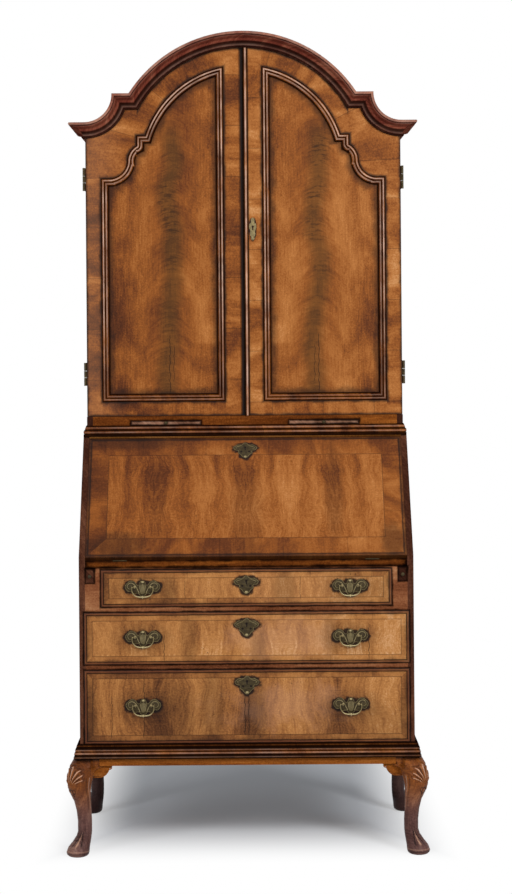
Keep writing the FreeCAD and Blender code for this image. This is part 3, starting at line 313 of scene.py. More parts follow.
def pieced(tree, tone, along, length, colour_step=0.18):
    """Short pieces of veneer laid side by side: a step in tone at each, and a joint line."""
    number = add(tree, "Math.FLOOR", add(tree, "Math.DIVIDE", along, length))
    chance = add(tree, "TexWhiteNoise", number, noise_dimensions="1D")
    step = add(tree, EVEN, chance, 0.0, 1.0, -colour_step, colour_step)
    off = add(tree, "Math.PINGPONG", along, length / 2)
    joint = add(tree, EASED, off, 0.3 * MM, 1.4 * MM, 0.5, 0.0)
    return add(tree, "Math.ADD", tone, step), joint


def patch_round(tree, u, v, centre, size):
    """Distance from a spot in shares of its size, which is 1 on its rim."""
    away = [add(tree, "Math.SUBTRACT", place, middle) for place, middle in zip((u, v), centre)]
    spread = add(tree, "VectorMath.DIVIDE", (*away, 0.0), (*size, 1.0))
    return add(tree, "VectorMath.LENGTH", spread, out="Value")


def ragged(tree, value, size, reach):
    """A value moved a little here and there, so that a rim is not drawn with a rule."""
    place = add(tree, "TexCoord", out="Object")
    noise = add(tree, "TexNoise", place, 1 / size, 4.0, 0.65)
    return add(tree, "Math.ADD", value, add(tree, EVEN, noise, 0.25, 0.75, -reach, reach))


def stained(tree, colour, u, v, spots):
    """Dark stains with ragged rims, such as the black wax round a brass. Each spot has a centre, a
    size and a strength, and a weak one has a soft rim."""
    for centre, size, strength in spots:
        rim = ragged(tree, patch_round(tree, u, v, centre, size), 14 * MM, 0.2)
        soft = 0.62 - 0.5 * strength
        colour = dirt_and_shade(tree, colour, add(tree, EASED, rim, 1 - soft, 1 + soft, strength, 0.0))
    return colour


def cracked(tree, colour, u, v, cracks):
    """Fine dark splits along the grain. Each has its place across, its ends and its width."""
    sway = add(tree, "TexNoise", (v, 0.0, 3.0), 1 / (25 * MM), 3.0, 0.6)
    swung = add(tree, "Math.ADD", u, add(tree, EVEN, sway, 0.3, 0.7, -3 * MM, 3 * MM))
    for place, low, high, width in cracks:
        line = thin_line(tree, swung, place, width, 0.85)
        within = add(tree, "Math.MULTIPLY", add(tree, EASED, v, low, low + 12 * MM),
                     add(tree, EASED, v, high - 12 * MM, high, 1.0, 0.0))
        colour = dirt_and_shade(tree, colour, add(tree, "Math.MULTIPLY", line, within))
    return colour


def flecked(tree, colour, seed, amount=0.5):
    """Small dark knots and ink specks, thick in some places and missing in others."""
    place = add(tree, "VectorMath.ADD", add(tree, "TexCoord", out="Object"), (seed, 0, seed))
    spot = add(tree, "TexVoronoi", place, 1 / (15 * MM), voronoi_dimensions="3D", out="Distance")
    where = add(tree, "TexNoise", place, 1 / (110 * MM), 2.0, 0.5)
    size = add(tree, EVEN, where, 0.48, 0.7, 0.0, 0.16)
    mark = add(tree, "Math.LESS_THAN", spot, size)
    return dirt_and_shade(tree, colour, add(tree, "Math.MULTIPLY", mark, amount))


# Finishes

def board_walnut(name, along="Z", seed=0.0, lift=0.0, palette=WALNUT, edge=None):
    """Solid walnut board, planed and polished, darkened by wax, dust and painted shade along the
    edges that edge measures.
    """
    material, tree, shader = new_material(name, "polished walnut")
    across, run, place = grain_along(tree, along)
    tone, pores = wood(tree, across, run, seed, squat=0.16)
    colour = walnut(tree, tone, lift, palette)
    if edge:
        distance, reach = edge(tree, *place)
        colour = edge_dirt_and_shade(tree, colour, distance, reach, 0.96)
    satin(tree, shader, colour, tone, pores, 0.0)
    return material


def leaf_veneer(tree, u, v, seed, leaf, smudge):
    """Book-matched leaves whose grain runs along v, dark where the hearts meet."""
    sway = 14 * MM
    drift = add(tree, "TexNoise", (u, v, seed), 1 / (120 * MM), 2.0)
    swung = add(tree, "Math.ADD", u, add(tree, EVEN, drift, 0.3, 0.7, -sway, sway))
    mirrored = add(tree, "Math.PINGPONG", swung, leaf)
    tone, pores = wood(tree, mirrored, v, seed, 70 * MM, 0.34, 0.19, 0.22)
    heart = add(tree, EASED, mirrored, 0.0, leaf * 0.5, smudge, 0.0)
    slow = add(tree, "Math.MULTIPLY", v, 0.4)
    ebb = add(tree, "TexNoise", (mirrored, slow, seed + 2), 1 / (90 * MM), 3.0)
    dark = add(tree, "Math.MULTIPLY", heart, add(tree, EASED, ebb, 0.4, 0.6))
    sheen = add(tree, EASED, mirrored, leaf * 0.5, leaf, 0.0, smudge * 0.8)
    off = add(tree, "Math.PINGPONG", swung, leaf / 2)
    edge = add(tree, EASED, off, 0.2 * MM, 2.0 * MM, 0.08, 0.0)
    tone = add(tree, "Math.ADD", add(tree, "Math.SUBTRACT", tone, dark), sheen)
    return add(tree, "Math.SUBTRACT", tone, edge), pores


def banded(tree, u, v, distance, along, seed, leaf, band, line, smudge, pieces):
    """Leaves inside a crossband, as a tone, a height and a darkness of the joints."""
    inner, inner_pores = leaf_veneer(tree, u, v, seed, leaf, smudge)
    outer, outer_pores = wood(tree, along, distance, seed + 40, 80 * MM, 0.2, 0.27)
    outer, joint = pieced(tree, add(tree, "Math.SUBTRACT", outer, 0.03), along, pieces, 0.05)
    inside = add(tree, "Math.GREATER_THAN", distance, band)
    tone = add(tree, "Mix", inside, outer, inner)
    pores = add(tree, "Mix", inside, outer_pores, inner_pores)
    joint = add(tree, "Mix", inside, add(tree, "Math.MULTIPLY", joint, 0.6), 0.0)
    lines = add(tree, "Math.MAXIMUM", joint, thin_line(tree, distance, band, line, 0.55))
    return tone, pores, lines


# Stains on the fall, from the middle of its pin and up its slope: the leaves' hearts, the
# two lower corners and the crossband above on the left
FALL_STAINS = [
    ((-0.234, 0.15), (0.022, 0.16), 0.14), ((0.0, 0.13), (0.04, 0.15), 0.2),
    ((0.234, 0.19), (0.024, 0.13), 0.28), ((-0.335, 0.035), (0.07, 0.04), 0.5),
    ((0.385, 0.045), (0.03, 0.05), 0.5), ((-0.3, 0.345), (0.13, 0.02), 0.4),
]


def lock_stains(top):
    """Black wax round a lock plate on the middle line, under an edge at a height."""
    return [((0.0, top - 34 * MM), (0.037, 0.0185), 0.95),
            ((0.0, top - 49 * MM), (0.019, 0.0215), 0.95)]


def fall_veneer(finish):
    """Walnut veneer on the fall: old, with a painted golden sheen in the middle, painted lighter
    to the right as light, darker towards the top, stained at the corners, and with wax, dust and
    painted shade along its rim.
    """
    material, tree, shader = new_material("walnut_veneer_fall", "walnut veneer")
    u, v, _ = place_on(tree, FALL_PIN, FALL_SLOPE)
    half = FALL_HIGH.x
    distance, along = rectangle(tree, u, v, (-half, 0.0), (half, FALL_LENGTH))
    tone, pores, lines = banded(tree, u, v, distance, along, 11.0, finish.leaf, finish.band,
                                finish.line, 0.12, 168 * MM)
    # Painted light on the tone: lighter to the right and a pale painted sheen in the middle. The
    # tone is also darker towards the top.
    painted_sheen_spot = patch_round(tree, u, v, (0.06, 0.19), (0.3, 0.17))
    for change in (add(tree, EVEN, u, -half, half, -0.06, 0.12),
                   add(tree, EASED, v, FALL_LENGTH * 0.82, FALL_LENGTH, 0.0, -0.09),
                   add(tree, EASED, painted_sheen_spot, 0.0, 1.1, 0.12, 0.0)):
        tone = add(tree, "Math.ADD", tone, change)
    colour = dirt_and_shade(tree, walnut(tree, tone, -0.1, AMBER), lines)
    colour = stained(tree, colour, u, v, FALL_STAINS + lock_stains(FALL_LENGTH))
    # Dirt and painted shade along the rim, and a painted shade line in the groove beside the bead
    colour = edge_dirt_and_shade(tree, colour, distance, 13 * MM, 0.7)
    quirk = ragged(tree, distance, 30 * MM, 0.8 * MM)
    colour = dirt_and_shade(tree, colour, thin_line(tree, quirk, 6.4 * MM, 3.6 * MM, 0.75))
    colour = flecked(tree, colour, 3.0, 0.4)
    satin(tree, shader, colour, tone, pores)
    return material


# Each drawer front's veneer: the width of a leaf, how much paler the whole is, how strong the
# painted sheen right of its middle is, its cracks as cracked takes them and its smudges as stained
# does
DRAWER_VENEERS = {
    "drawer_bottom": (118 * MM, -0.07, 0.22, (
        (-0.268, 0.30, 0.47, 1.5 * MM), (-0.006, 0.31, 0.415, 1.8 * MM),
        (0.004, 0.31, 0.42, 1.8 * MM), (-0.352, 0.30, 0.42, 1.2 * MM),
    ), (
        ((-0.2, 0.36), (0.07, 0.09), 0.3), ((-0.09, 0.38), (0.03, 0.1), 0.3),
        ((0.02, 0.36), (0.03, 0.1), 0.35), ((0.3, 0.34), (0.12, 0.05), 0.2),
        ((-0.42, 0.36), (0.03, 0.1), 0.4), ((0.43, 0.36), (0.03, 0.1), 0.35),
    )),
    "drawer_middle": (95 * MM, 0.12, 0.22, (
        (0.318, 0.50, 0.60, 1.4 * MM), (-0.215, 0.5, 0.58, 1.2 * MM),
    ), (
        ((-0.15, 0.56), (0.022, 0.08), 0.25), ((-0.43, 0.56), (0.025, 0.08), 0.4),
        ((0.03, 0.53), (0.02, 0.06), 0.25), ((0.22, 0.57), (0.02, 0.07), 0.2),
        ((0.43, 0.56), (0.025, 0.08), 0.3),
    )),
    "drawer_top": (92 * MM, 0.06, 0.05, (
        (-0.16, 0.655, 0.72, 1.0 * MM), (0.14, 0.66, 0.73, 1.0 * MM),
    ), (
        ((-0.2, 0.68), (0.02, 0.05), 0.3), ((0.1, 0.69), (0.03, 0.05), 0.3),
        ((-0.38, 0.68), (0.03, 0.05), 0.2), ((0.37, 0.68), (0.03, 0.05), 0.25),
    )),
}


def drawer_veneer(name, seed, finish):
    """Walnut veneer on a drawer front: a painted sheen between its handles and dark stains round
    them, painted lighter to the right as light, with wax, dust and painted shade along its edges.
    """
    leaf, lift, sheen_strength, cracks, smudges = DRAWER_VENEERS[name]
    low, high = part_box(name + "_front")
    material, tree, shader = new_material("walnut_veneer_" + name, "walnut veneer")
    x, _, z = place_on(tree)
    distance, along = rectangle(tree, x, z, (low.x, low.z), (high.x, high.z))
    tone, pores, lines = banded(tree, x, z, distance, along, seed, leaf, 22 * MM,
                                finish.line, 0.13, 160 * MM)
    # Painted light: the front is lighter to the right.
    painted_light_ramp = add(tree, EVEN, x, low.x, high.x, -0.07, 0.1)
    colour = dirt_and_shade(tree, walnut(tree, add(tree, "Math.ADD", tone, painted_light_ramp), lift, FADED), lines)
    handle = Vector(JOINTS[name + "_bail_right_hinge"]["pos_m"])
    # A pale painted sheen right of the middle
    spot = patch_round(tree, x, z, (0.1, (low.z + high.z) / 2), (0.2, 0.07))
    painted_sheen = add(tree, EASED, ragged(tree, spot, 60 * MM, 0.5), 0.2, 1.1, sheen_strength, 0.0)
    colour = rubbed(tree, colour, painted_sheen, "#C9987A")
    colour = stained(tree, colour, x, z, smudges)
    colour = stained(tree, colour, add(tree, "Math.ABSOLUTE", x), z, [
        ((handle.x + across * MM, handle.z - down * MM), size, strength)
        for across, down, size, strength in (
            (0, 4, (0.070, 0.040), 0.32), (-32, 1, (0.0195, 0.0185), 0.95),
            (32, 1, (0.0195, 0.0185), 0.95), (0, 5, (0.028, 0.024), 0.95))] + lock_stains(high.z))
    colour = flecked(tree, cracked(tree, colour, x, z, cracks), seed, 0.55)
    # Painted shade: black on the rounded outer edge and a dark line in the groove inside the lip,
    # and dirt and painted shade further in from the edge
    rim = ragged(tree, distance, 30 * MM, 1.2 * MM)
    rim = add(tree, EASED, rim, 0.5 * MM, 3.6 * MM, 0.95, 0.0)
    within = finish.lip + 1 * MM
    quirk = thin_line(tree, ragged(tree, distance, 40 * MM, 0.8 * MM), within, 2.6 * MM, 0.8)
    lip = add(tree, "Math.MULTIPLY", add(tree, "Math.LESS_THAN", distance, within), 0.55)
    colour = dirt_and_shade(tree, edge_dirt_and_shade(tree, colour, distance, 16 * MM, 0.7), lip, "#6E3A22")
    colour = dirt_and_shade(tree, colour, add(tree, "Math.MAXIMUM", rim, quirk))
    satin(tree, shader, colour, tone, pores)
    return material


def door_outline(tree, side, x, z):
    """Distance outside the doors' moulding, and radius and angle about the arch's hub."""
    up = add(tree, "Math.SUBTRACT", z, ARCH_HUB)
    radius = add(tree, "VectorMath.LENGTH", (x, up, 0.0), out="Value")
    edges = {"arch": add(tree, "Math.SUBTRACT", radius, TRIM_ARCH)}
    for name, limit in (("far", TRIM_HIGH.x), ("end", SHOULDER_END), ("step", SHOULDER_STEP)):
        edges[name] = add(tree, "Math.SUBTRACT", side, limit)
    for name, limit in (("toe", SHOULDER_TOE), ("dip", SHOULDER_DIP), ("ledge", SHOULDER_LEDGE),
                        ("neck", (SHOULDER_TOE + SHOULDER_DIP) / 2 + 6 * MM)):
        edges[name] = add(tree, "Math.SUBTRACT", z, limit)
    bend = SHOULDER_BEND
    lean = bend * math.sin(SHOULDER_TILT), bend * math.cos(SHOULDER_TILT)
    for name, centre, sign in (
            ("hollow", (SHOULDER_END, SHOULDER_TOE + bend), -1.0),
            ("round", (SHOULDER_STEP - lean[0], SHOULDER_DIP - lean[1]), 1.0)):
        circle = patch_round(tree, side, z, centre, (1.0, 1.0))
        edges[name] = add(tree, "Math.MULTIPLY", add(tree, "Math.SUBTRACT", circle, bend), sign)
    outside = None
    for walls in (("far", "toe"), ("end", "neck", "hollow"), ("round", "dip"), ("step", "ledge"),
                  ("arch",)):
        shape = edges[walls[0]]
        for wall in walls[1:]:
            shape = add(tree, "Math.MAXIMUM", shape, edges[wall])
        outside = shape if outside is None else add(tree, "Math.MINIMUM", outside, shape)
    inner = add(tree, "Math.MULTIPLY", add(tree, "Math.LESS_THAN", edges["step"], 0.0),
                add(tree, "Math.LESS_THAN", edges["dip"], 0.0))
    tip = add(tree, "Math.MULTIPLY", patch_round(
        tree, side, z, (SHOULDER_STEP, SHOULDER_DIP), (1.0, 1.0)), -1.0)
    shape = add(tree, "Mix", inner, 1.0, add(tree, "Math.MAXIMUM", tip, edges["hollow"]))
    outside = add(tree, "Math.MINIMUM", outside, shape)
    outside = add(tree, "Math.MAXIMUM", outside, add(tree, "Math.SUBTRACT", TRIM_LOW.x, side))
    outside = add(tree, "Math.MAXIMUM", outside, add(tree, "Math.SUBTRACT", TRIM_LOW.z, z))
    return outside, radius, add(tree, "Math.ARCTAN2", side, up)


# How far from the middle line a panel's flame rises and a door's inner stile ends, where
# the frame's outer edge turns under the cornice, and that edge's radius about the hub
FLAME = 197 * MM
STILE = 51 * MM
DOOR_SHOULDER = 286 * MM
DOOR_ARCH = 325 * MM


def panel_veneer():
    """Crotch walnut on the door panels: a flame of arched figure up the middle, with dark cross
    flecks, straight grain beside it, painted lighter to the right as light, and old wax, dust and
    painted shade along the moulding."""
    material, tree, shader = new_material("walnut_crotch_veneer", "crotch walnut veneer")
    x, _, z = place_on(tree)
    side = add(tree, "Math.ABSOLUTE", x)
    outside, _, _ = door_outline(tree, side, x, z)
    right = add(tree, "Math.GREATER_THAN", x, 0.0)
    seed = add(tree, EVEN, right, 0.0, 1.0, 2.0, 2.13)
    drift = add(tree, "TexNoise", (z, seed, 0.0), 1 / (170 * MM), 2.0)
    wander = add(tree, EVEN, drift, 0.3, 0.7, -14 * MM - FLAME, 14 * MM - FLAME)
    off = add(tree, "Math.ABSOLUTE", add(tree, "Math.ADD", side, wander))
    straight, pores = wood(tree, side, z, 31.0, 95 * MM, 0.34, 0.2)
    bowed = add(tree, "Math.MULTIPLY_ADD", add(tree, "Math.MULTIPLY", off, off), 9.0, z)
    across, wider = add(tree, "Math.MULTIPLY", off, 0.3), add(tree, "Math.MULTIPLY", off, 0.6)
    rib = add(tree, "TexNoise", (across, bowed, seed), 1 / (10 * MM), 4.0, 0.65, 2.0, 0.7)
    plume = add(tree, "TexNoise", (wider, bowed, seed), 1 / (60 * MM), 3.0, 0.5, 2.0, 0.8)
    reach = add(tree, EASED, off, 10 * MM, 110 * MM, 0.45, 0.0)
    ribs = add(tree, EVEN, add(tree, "Mix", 0.4, plume, rib), 0.28, 0.72, 0.0, 1.0)
    tone = add(tree, "Mix", reach, straight, ribs)
    heart = add(tree, EASED, off, 6 * MM, 38 * MM, 0.06, 0.0)
    beside = add(tree, "Math.ABSOLUTE", add(tree, "Math.SUBTRACT", off, 85 * MM))
    glow = add(tree, EASED, beside, 0.0, 60 * MM, 0.1, 0.0)
    tone = add(tree, "Math.ADD", add(tree, "Math.SUBTRACT", tone, heart), glow)
    # Painted light: the panels are lighter to the right.
    tone = add(tree, "Math.ADD", tone, add(tree, EVEN, x, -0.38, 0.38, -0.11, 0.05))
    olive = add(tree, "Math.MULTIPLY", add(tree, EASED, off, 4 * MM, 44 * MM, 0.5, 0.0),
                add(tree, EASED, z, 1.86, 1.96, 1.0, 0.0))
    colour = dirt_and_shade(tree, walnut(tree, tone, -0.03, AMBER), olive, "#4A3614")
    # Cross flecks are short dark strokes across the heart, thickest in the upper half.
    drawn = add(tree, "Math.MULTIPLY", side, 0.2)
    stroke = add(tree, "TexNoise", (drawn, bowed, seed), 1 / (6 * MM), 3.0, 0.65, 2.2, 0.12)
    where = add(tree, "TexNoise", (off, z, seed), 1 / (70 * MM), 3.0)
    inked = add(tree, EASED, stroke, 0.48, 0.62, 0.0, 0.65)
    for share in (add(tree, EASED, off, 8 * MM, 46 * MM, 1.0, 0.0),
                  add(tree, EASED, where, 0.36, 0.54), add(tree, EASED, z, 1.38, 1.72, 0.3, 0.95),
                  add(tree, EASED, z, 1.86, 1.95, 1.0, 0.0)):
        inked = add(tree, "Math.MULTIPLY", inked, share)
    colour = dirt_and_shade(tree, colour, inked)
    for door in SIDES.values():
        colour = cracked(tree, colour, x, z, [
            (door * (FLAME + 4 * MM), 1.19, 1.36, 1.6 * MM),
            (door * (FLAME - 7 * MM), 1.22, 1.33, 1.2 * MM)])
    # Dirt and painted shade inside the moulding
    inside = add(tree, "Math.MULTIPLY_ADD", outside, -1.0, -TRIM_WIDTH)
    colour = edge_dirt_and_shade(tree, colour, inside, 22 * MM, 0.66)
    satin(tree, shader, colour, tone, pores)
    return material


def door_veneer():
    """Crossbanded walnut on the door frames: short grain square to the edges, in pieces."""
    material, tree, shader = new_material("walnut_crossband_doors", "walnut veneer")
    x, _, z = place_on(tree)
    side = add(tree, "Math.ABSOLUTE", x)
    outside, radius, angle = door_outline(tree, side, x, z)
    # The run of the pieces turns along the bottom rail and again round the head.
    beyond = add(tree, "Math.GREATER_THAN", side, STILE)
    low = add(tree, "Math.MULTIPLY", add(tree, "Math.MULTIPLY", beyond, add(
        tree, "Math.LESS_THAN", side, TRIM_HIGH.x)), add(
        tree, "Math.LESS_THAN", z, TRIM_LOW.z + 1 * MM))
    head = add(tree, "Math.MULTIPLY", add(tree, "Math.GREATER_THAN", z, SHOULDER_TOE), beyond)
    across = add(tree, "Mix", head, add(tree, "Mix", low, z, x), add(
        tree, "Math.MULTIPLY", angle, 320 * MM))
    along = add(tree, "Mix", head, add(tree, "Mix", low, x, z), radius)
    right = add(tree, "Math.GREATER_THAN", x, 0.0)
    shifted = add(tree, "Math.MULTIPLY_ADD", right, 0.61, across)
    tone, pores = wood(tree, shifted, along, 52.0, 80 * MM, 0.2, 0.19)
    tone, joint = pieced(tree, tone, shifted, 137 * MM, 0.07)
    # Painted light: the frames are lighter to the right.
    tone = add(tree, "Math.ADD", tone, add(tree, EVEN, x, -0.42, 0.42, -0.09, 0.05))
    inner = add(tree, "Math.MULTIPLY", right, add(tree, EASED, side, 0.06, 0.05, 0.0, 0.12))
    colour = dirt_and_shade(tree, walnut(tree, add(tree, "Math.ADD", tone, inner), 0.0, AMBER), joint)
    colour = rubbed(tree, colour, add(tree, EASED, x, -0.42, -0.3, 0.1, 0.0))
    # Dirt and painted shade along the frames' outer edges, round the head and along the moulding
    rims = add(tree, "Math.SUBTRACT", DOOR_ARCH, radius)
    for within in (add(tree, "Math.LESS_THAN", side, DOOR_SHOULDER),
                   add(tree, "Math.GREATER_THAN", z, SHOULDER_LEDGE)):
        rims = add(tree, "Mix", within, 1.0, rims)
    for away in (add(tree, "Math.SUBTRACT", DOOR_HIGH.x, side),
                 add(tree, "Math.SUBTRACT", z, DOOR_LOW.z), add(tree, "Math.ABSOLUTE", outside)):
        rims = add(tree, "Math.MINIMUM", rims, away)
    colour = edge_dirt_and_shade(tree, colour, rims, 9 * MM, 0.9)
    # A painted shadow in the gap where the doors meet, beside the astragal
    meeting_shadow = add(tree, "Mix", right, add(tree, EASED, side, 5 * MM, 12 * MM, 0.98, 0.0),
                  add(tree, EASED, side, 13 * MM, 17 * MM, 0.9, 0.0))
    colour = dirt_and_shade(tree, colour, meeting_shadow)
    colour = stained(tree, colour, x, z, [((25 * MM, 1.638), (0.0105, 0.031), 0.95)])
    satin(tree, shader, colour, tone, pores)
    return material


def cross_grained(name, seed, lift, profile, joint_length=88 * MM, dark=(), pale=(),
                  about_hub=False, palette=WALNUT, highlights_fade_from=(0.0, 0.0)):
    """Cross-grained walnut moulding: short grain in pieces, hollows painted black as shade, crests
    given pale painted highlights.

    profile is a function of the tree that tells where a point lies on the moulding's section.
    Dark lines of painted shade and pale lines of painted highlight lie at values of it, each with
    a width and a strength. The highlights fade from the second of two given heights down to the
    first.
    """
    material, tree, shader = new_material(name, "cross-grained walnut moulding")
    x, y, z = place_on(tree)
    if about_hub:
        up = add(tree, "Math.SUBTRACT", z, ARCH_HUB)
        run = add(tree, "Math.MULTIPLY_ADD", add(tree, "Math.ARCTAN2", x, up), 0.34, y)
        over = add(tree, "VectorMath.LENGTH", (x, up, 0.0), out="Value")
    else:
        run, over = add(tree, "Math.ADD", x, y), add(tree, "Math.SUBTRACT", z, y)
    tone, pores = wood(tree, run, over, seed, 50 * MM, 0.3, 0.22)
    tone, joint = pieced(tree, tone, run, joint_length, 0.1)
    colour = dirt_and_shade(tree, walnut(tree, tone, lift, palette), joint)
    section = profile(tree, x, y, z)
    patches = add(tree, "TexNoise", (x, y, z), 1 / (60 * MM), 3.0, 0.6)
    patchy = add(tree, "Math.MULTIPLY", add(tree, EVEN, patches, 0.35, 0.65, 0.3, 1.0),
                 add(tree, EASED, z, highlights_fade_from[0] - 1 * MM, highlights_fade_from[1], 0.3, 1.0))
    # The pale lines are painted highlights on the crests.
    for level, width, strength in pale:
        wear_and_painted_light = add(tree, "Math.MULTIPLY", thin_line(tree, section, level, width, strength), patchy)
        colour = rubbed(tree, colour, wear_and_painted_light, "#DDB8A2")
    # The dark lines are painted shade in the hollows and at the edges.
    for level, width, strength in dark:
        colour = dirt_and_shade(tree, colour, thin_line(tree, section, level, width, strength))
    satin(tree, shader, colour, tone, pores, 0.0)
    return material


def forward(tree, x, y, z):
    """How far a point stands forward of the middle plane."""
    return add(tree, "Math.MULTIPLY", y, -1.0)


def height(tree, x, y, z):
    """How high a point stands."""
    return z


def off_centre(tree, x, y, z):
    """How far a point stands from the middle of the door astragal."""
    return add(tree, "Math.ABSOLUTE", add(tree, "Math.SUBTRACT", x, 7.5 * MM))


def within_trim(tree, x, y, z):
    """How far a point lies inside the outer edge of a door's moulding."""
    outside, _, _ = door_outline(tree, add(tree, "Math.ABSOLUTE", x), x, z)
    return add(tree, "Math.MULTIPLY", outside, -1.0)


def leg_walnut():
    """Carved solid walnut, dark with age and use: pale painted highlights on the carving's crests,
    painted shade in its hollows, on the back legs and just under the stand moulding.
    """
    material, tree, shader = new_material("walnut_leg", "carved walnut")
    across, z, (x, y, _) = grain_along(tree, "Z")
    tone, pores = wood(tree, across, z, 71.0, 60 * MM, 0.35, 0.22)
    shin = walnut(tree, tone, -0.05, PLUM)
    knee = walnut(tree, tone, -0.12, AMBER)
    upper = add(tree, EASED, z, 0.08, 0.21, 0.0, 1.0)
    colour = add(tree, "Mix", upper, shin, knee, data_type="RGBA")
    # Painted shade: the back legs are darker, under the case.
    back = add(tree, EASED, y, -0.1, 0.1, 0.0, 0.75)
    colour = dirt_and_shade(tree, colour, back, "#1D0C0C")
    # The carving's crests get a painted highlight and its hollows painted shade.
    cut = add(tree, "Attribute", attribute_name="carving", out="Fac")
    crest = add(tree, EASED, cut, 0.2, 1.0, 0.0, 0.8)
    hollow = add(tree, EASED, cut, -0.9, -0.05, 0.95, 0.0)
    colour = dirt_and_shade(tree, rubbed(tree, colour, crest, "#D6A78A"), hollow)
    # Painted shade just under the stand moulding, and a dark joint beside the bracket
    top = add(tree, EASED, z, STAND_LOW.z - 9 * MM, STAND_LOW.z - 1 * MM,
              0.0, 0.85)
    joint = add(tree, EASED, add(tree, "Math.ABSOLUTE", x),
                CASE_HIGH.x - 63 * MM, CASE_HIGH.x - 60 * MM, 0.9, 0.0)
    joint = add(tree, "Math.MULTIPLY", joint, add(tree, "Math.GREATER_THAN", z, 0.2))
    satin(tree, shader, dirt_and_shade(tree, colour, add(tree, "Math.MAXIMUM", top, joint)), tone, pores)
    return material


def oak_boards(name, along, seed, width=0.0):
    """Dry unpolished oak, sawn and planed: grey-brown, open-grained, dark at its joints."""
    material, tree, shader = new_material(name, "dry oak")
    across, run, _ = grain_along(tree, along)
    tone, pores = wood(tree, across, run, seed, 60 * MM, 0.5, 0.2)
    if width:
        tone, joint = pieced(tree, tone, across, width, 0.2)
    colour = walnut(tree, tone, 0.0, OAK)
    if width:
        colour = dirt_and_shade(tree, colour, joint, "#0E0906")
    shade(tree, shader, colour, 0.78, pores, 0.4 * MM, Specular_IOR_Level=0.2)
    return material


def old_brass():
    """Cast brass that has gone olive brown, polished to a dull gold by use on its high places."""
    material, tree, shader = new_material("old_cast_brass", "brass")
    place = add(tree, "TexCoord", out="Object")
    cloud = add(tree, "TexNoise", place, 1 / (7 * MM), 5.0, 0.65)
    colour = add(tree, "ValToRGB", cloud, stops=(
        (0.3, "#33290F"), (0.5, "#54451F"), (0.7, "#6E5E33")))
    cut = add(tree, "Attribute", attribute_name="rubbed", out="Fac")
    colour = rubbed(tree, colour, add(tree, "Math.MULTIPLY", cut, 0.85), "#BBAA7E")
    low = add(tree, EASED, cut, 0.0, 0.1, 0.6, 0.0)
    colour = dirt_and_shade(tree, colour, low)
    rough = add(tree, EVEN, cloud, 0.3, 0.7, 0.6, 0.42)
    shade(tree, shader, colour, rough, cloud, 0.2 * MM, Metallic=0.6)
    return material


def paint(names, material):
    """Give the meshes of CAD nodes one material."""
    for name in names:
        mesh = NODES[name].data
        mesh.materials.clear()
        mesh.materials.append(material)


# Modelling

def pick(*pieces):
    """Select only these pieces, if any, the first one active, in object mode."""
    if bpy.context.object and bpy.context.object.mode != "OBJECT":
        bpy.ops.object.mode_set(mode="OBJECT")
    bpy.ops.object.select_all(action="DESELECT")
    for piece in pieces:
        piece.select_set(True)
    if pieces:
        bpy.context.view_layer.objects.active = pieces[0]


def applied(piece):
    """A piece with its place, turn and scale taken into its mesh."""
    pick(piece)
    bpy.ops.object.transform_apply(location=True, rotation=True, scale=True)
    return piece


def choose(piece, wanted, kind="FACE"):
    """Open a piece in edit mode with only those faces or edges selected that a test wants."""
    pick(piece)
    bpy.ops.object.mode_set(mode="EDIT")
    bpy.ops.mesh.select_mode(type=kind)
    bpy.ops.mesh.select_all(action="DESELECT")
    mesh = bmesh.from_edit_mesh(piece.data)
    for part in mesh.faces if kind == "FACE" else mesh.edges:
        part.select = wanted(part)
    mesh.select_flush(True)
    bmesh.update_edit_mesh(piece.data)


def settle(piece, name, body, slot, material, *replaced):
    """Apply a piece's modifiers and place, name it, and fix it to its body."""
    pick(piece)
    for modifier in list(piece.modifiers):
        bpy.ops.object.modifier_apply(modifier=modifier.name)
    applied(piece)
    piece.name = piece.data.name = name
    piece.data.materials.clear()
    piece.data.materials.append(material)
    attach(piece, body)
    if replaced:
        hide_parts(*replaced)
    return piece


def joined(first, *others):
    """Join pieces into the first one."""
    pick(first, *others)
    bpy.ops.object.join()
    return first


def outward(piece):
    """Merge a piece's doubles and turn its faces outwards."""
    pick(piece)
    bpy.ops.object.mode_set(mode="EDIT")
    bpy.ops.mesh.select_all(action="SELECT")
    bpy.ops.mesh.remove_doubles(threshold=0.01 * MM)
    bpy.ops.mesh.normals_make_consistent(inside=False)
    bpy.ops.object.mode_set(mode="OBJECT")


def copied(piece):
    """A copy of a piece with a mesh of its own."""
    pick(piece)
    bpy.ops.object.duplicate(linked=False)
    return bpy.context.object


def block(low, high):
    """A box between two corners, to be shaped."""
    pick()
    bpy.ops.mesh.primitive_cube_add(size=1, location=(Vector(low) + Vector(high)) / 2)
    piece = bpy.context.object
    piece.scale = Vector(high) - Vector(low)
    return applied(piece)


# Outlines of the brass plates: their right halves, from the top of the middle to its foot,
# in shares of half the width and of the height. A row is a corner, or a corner with a
# point that the arc to the next corner passes through.

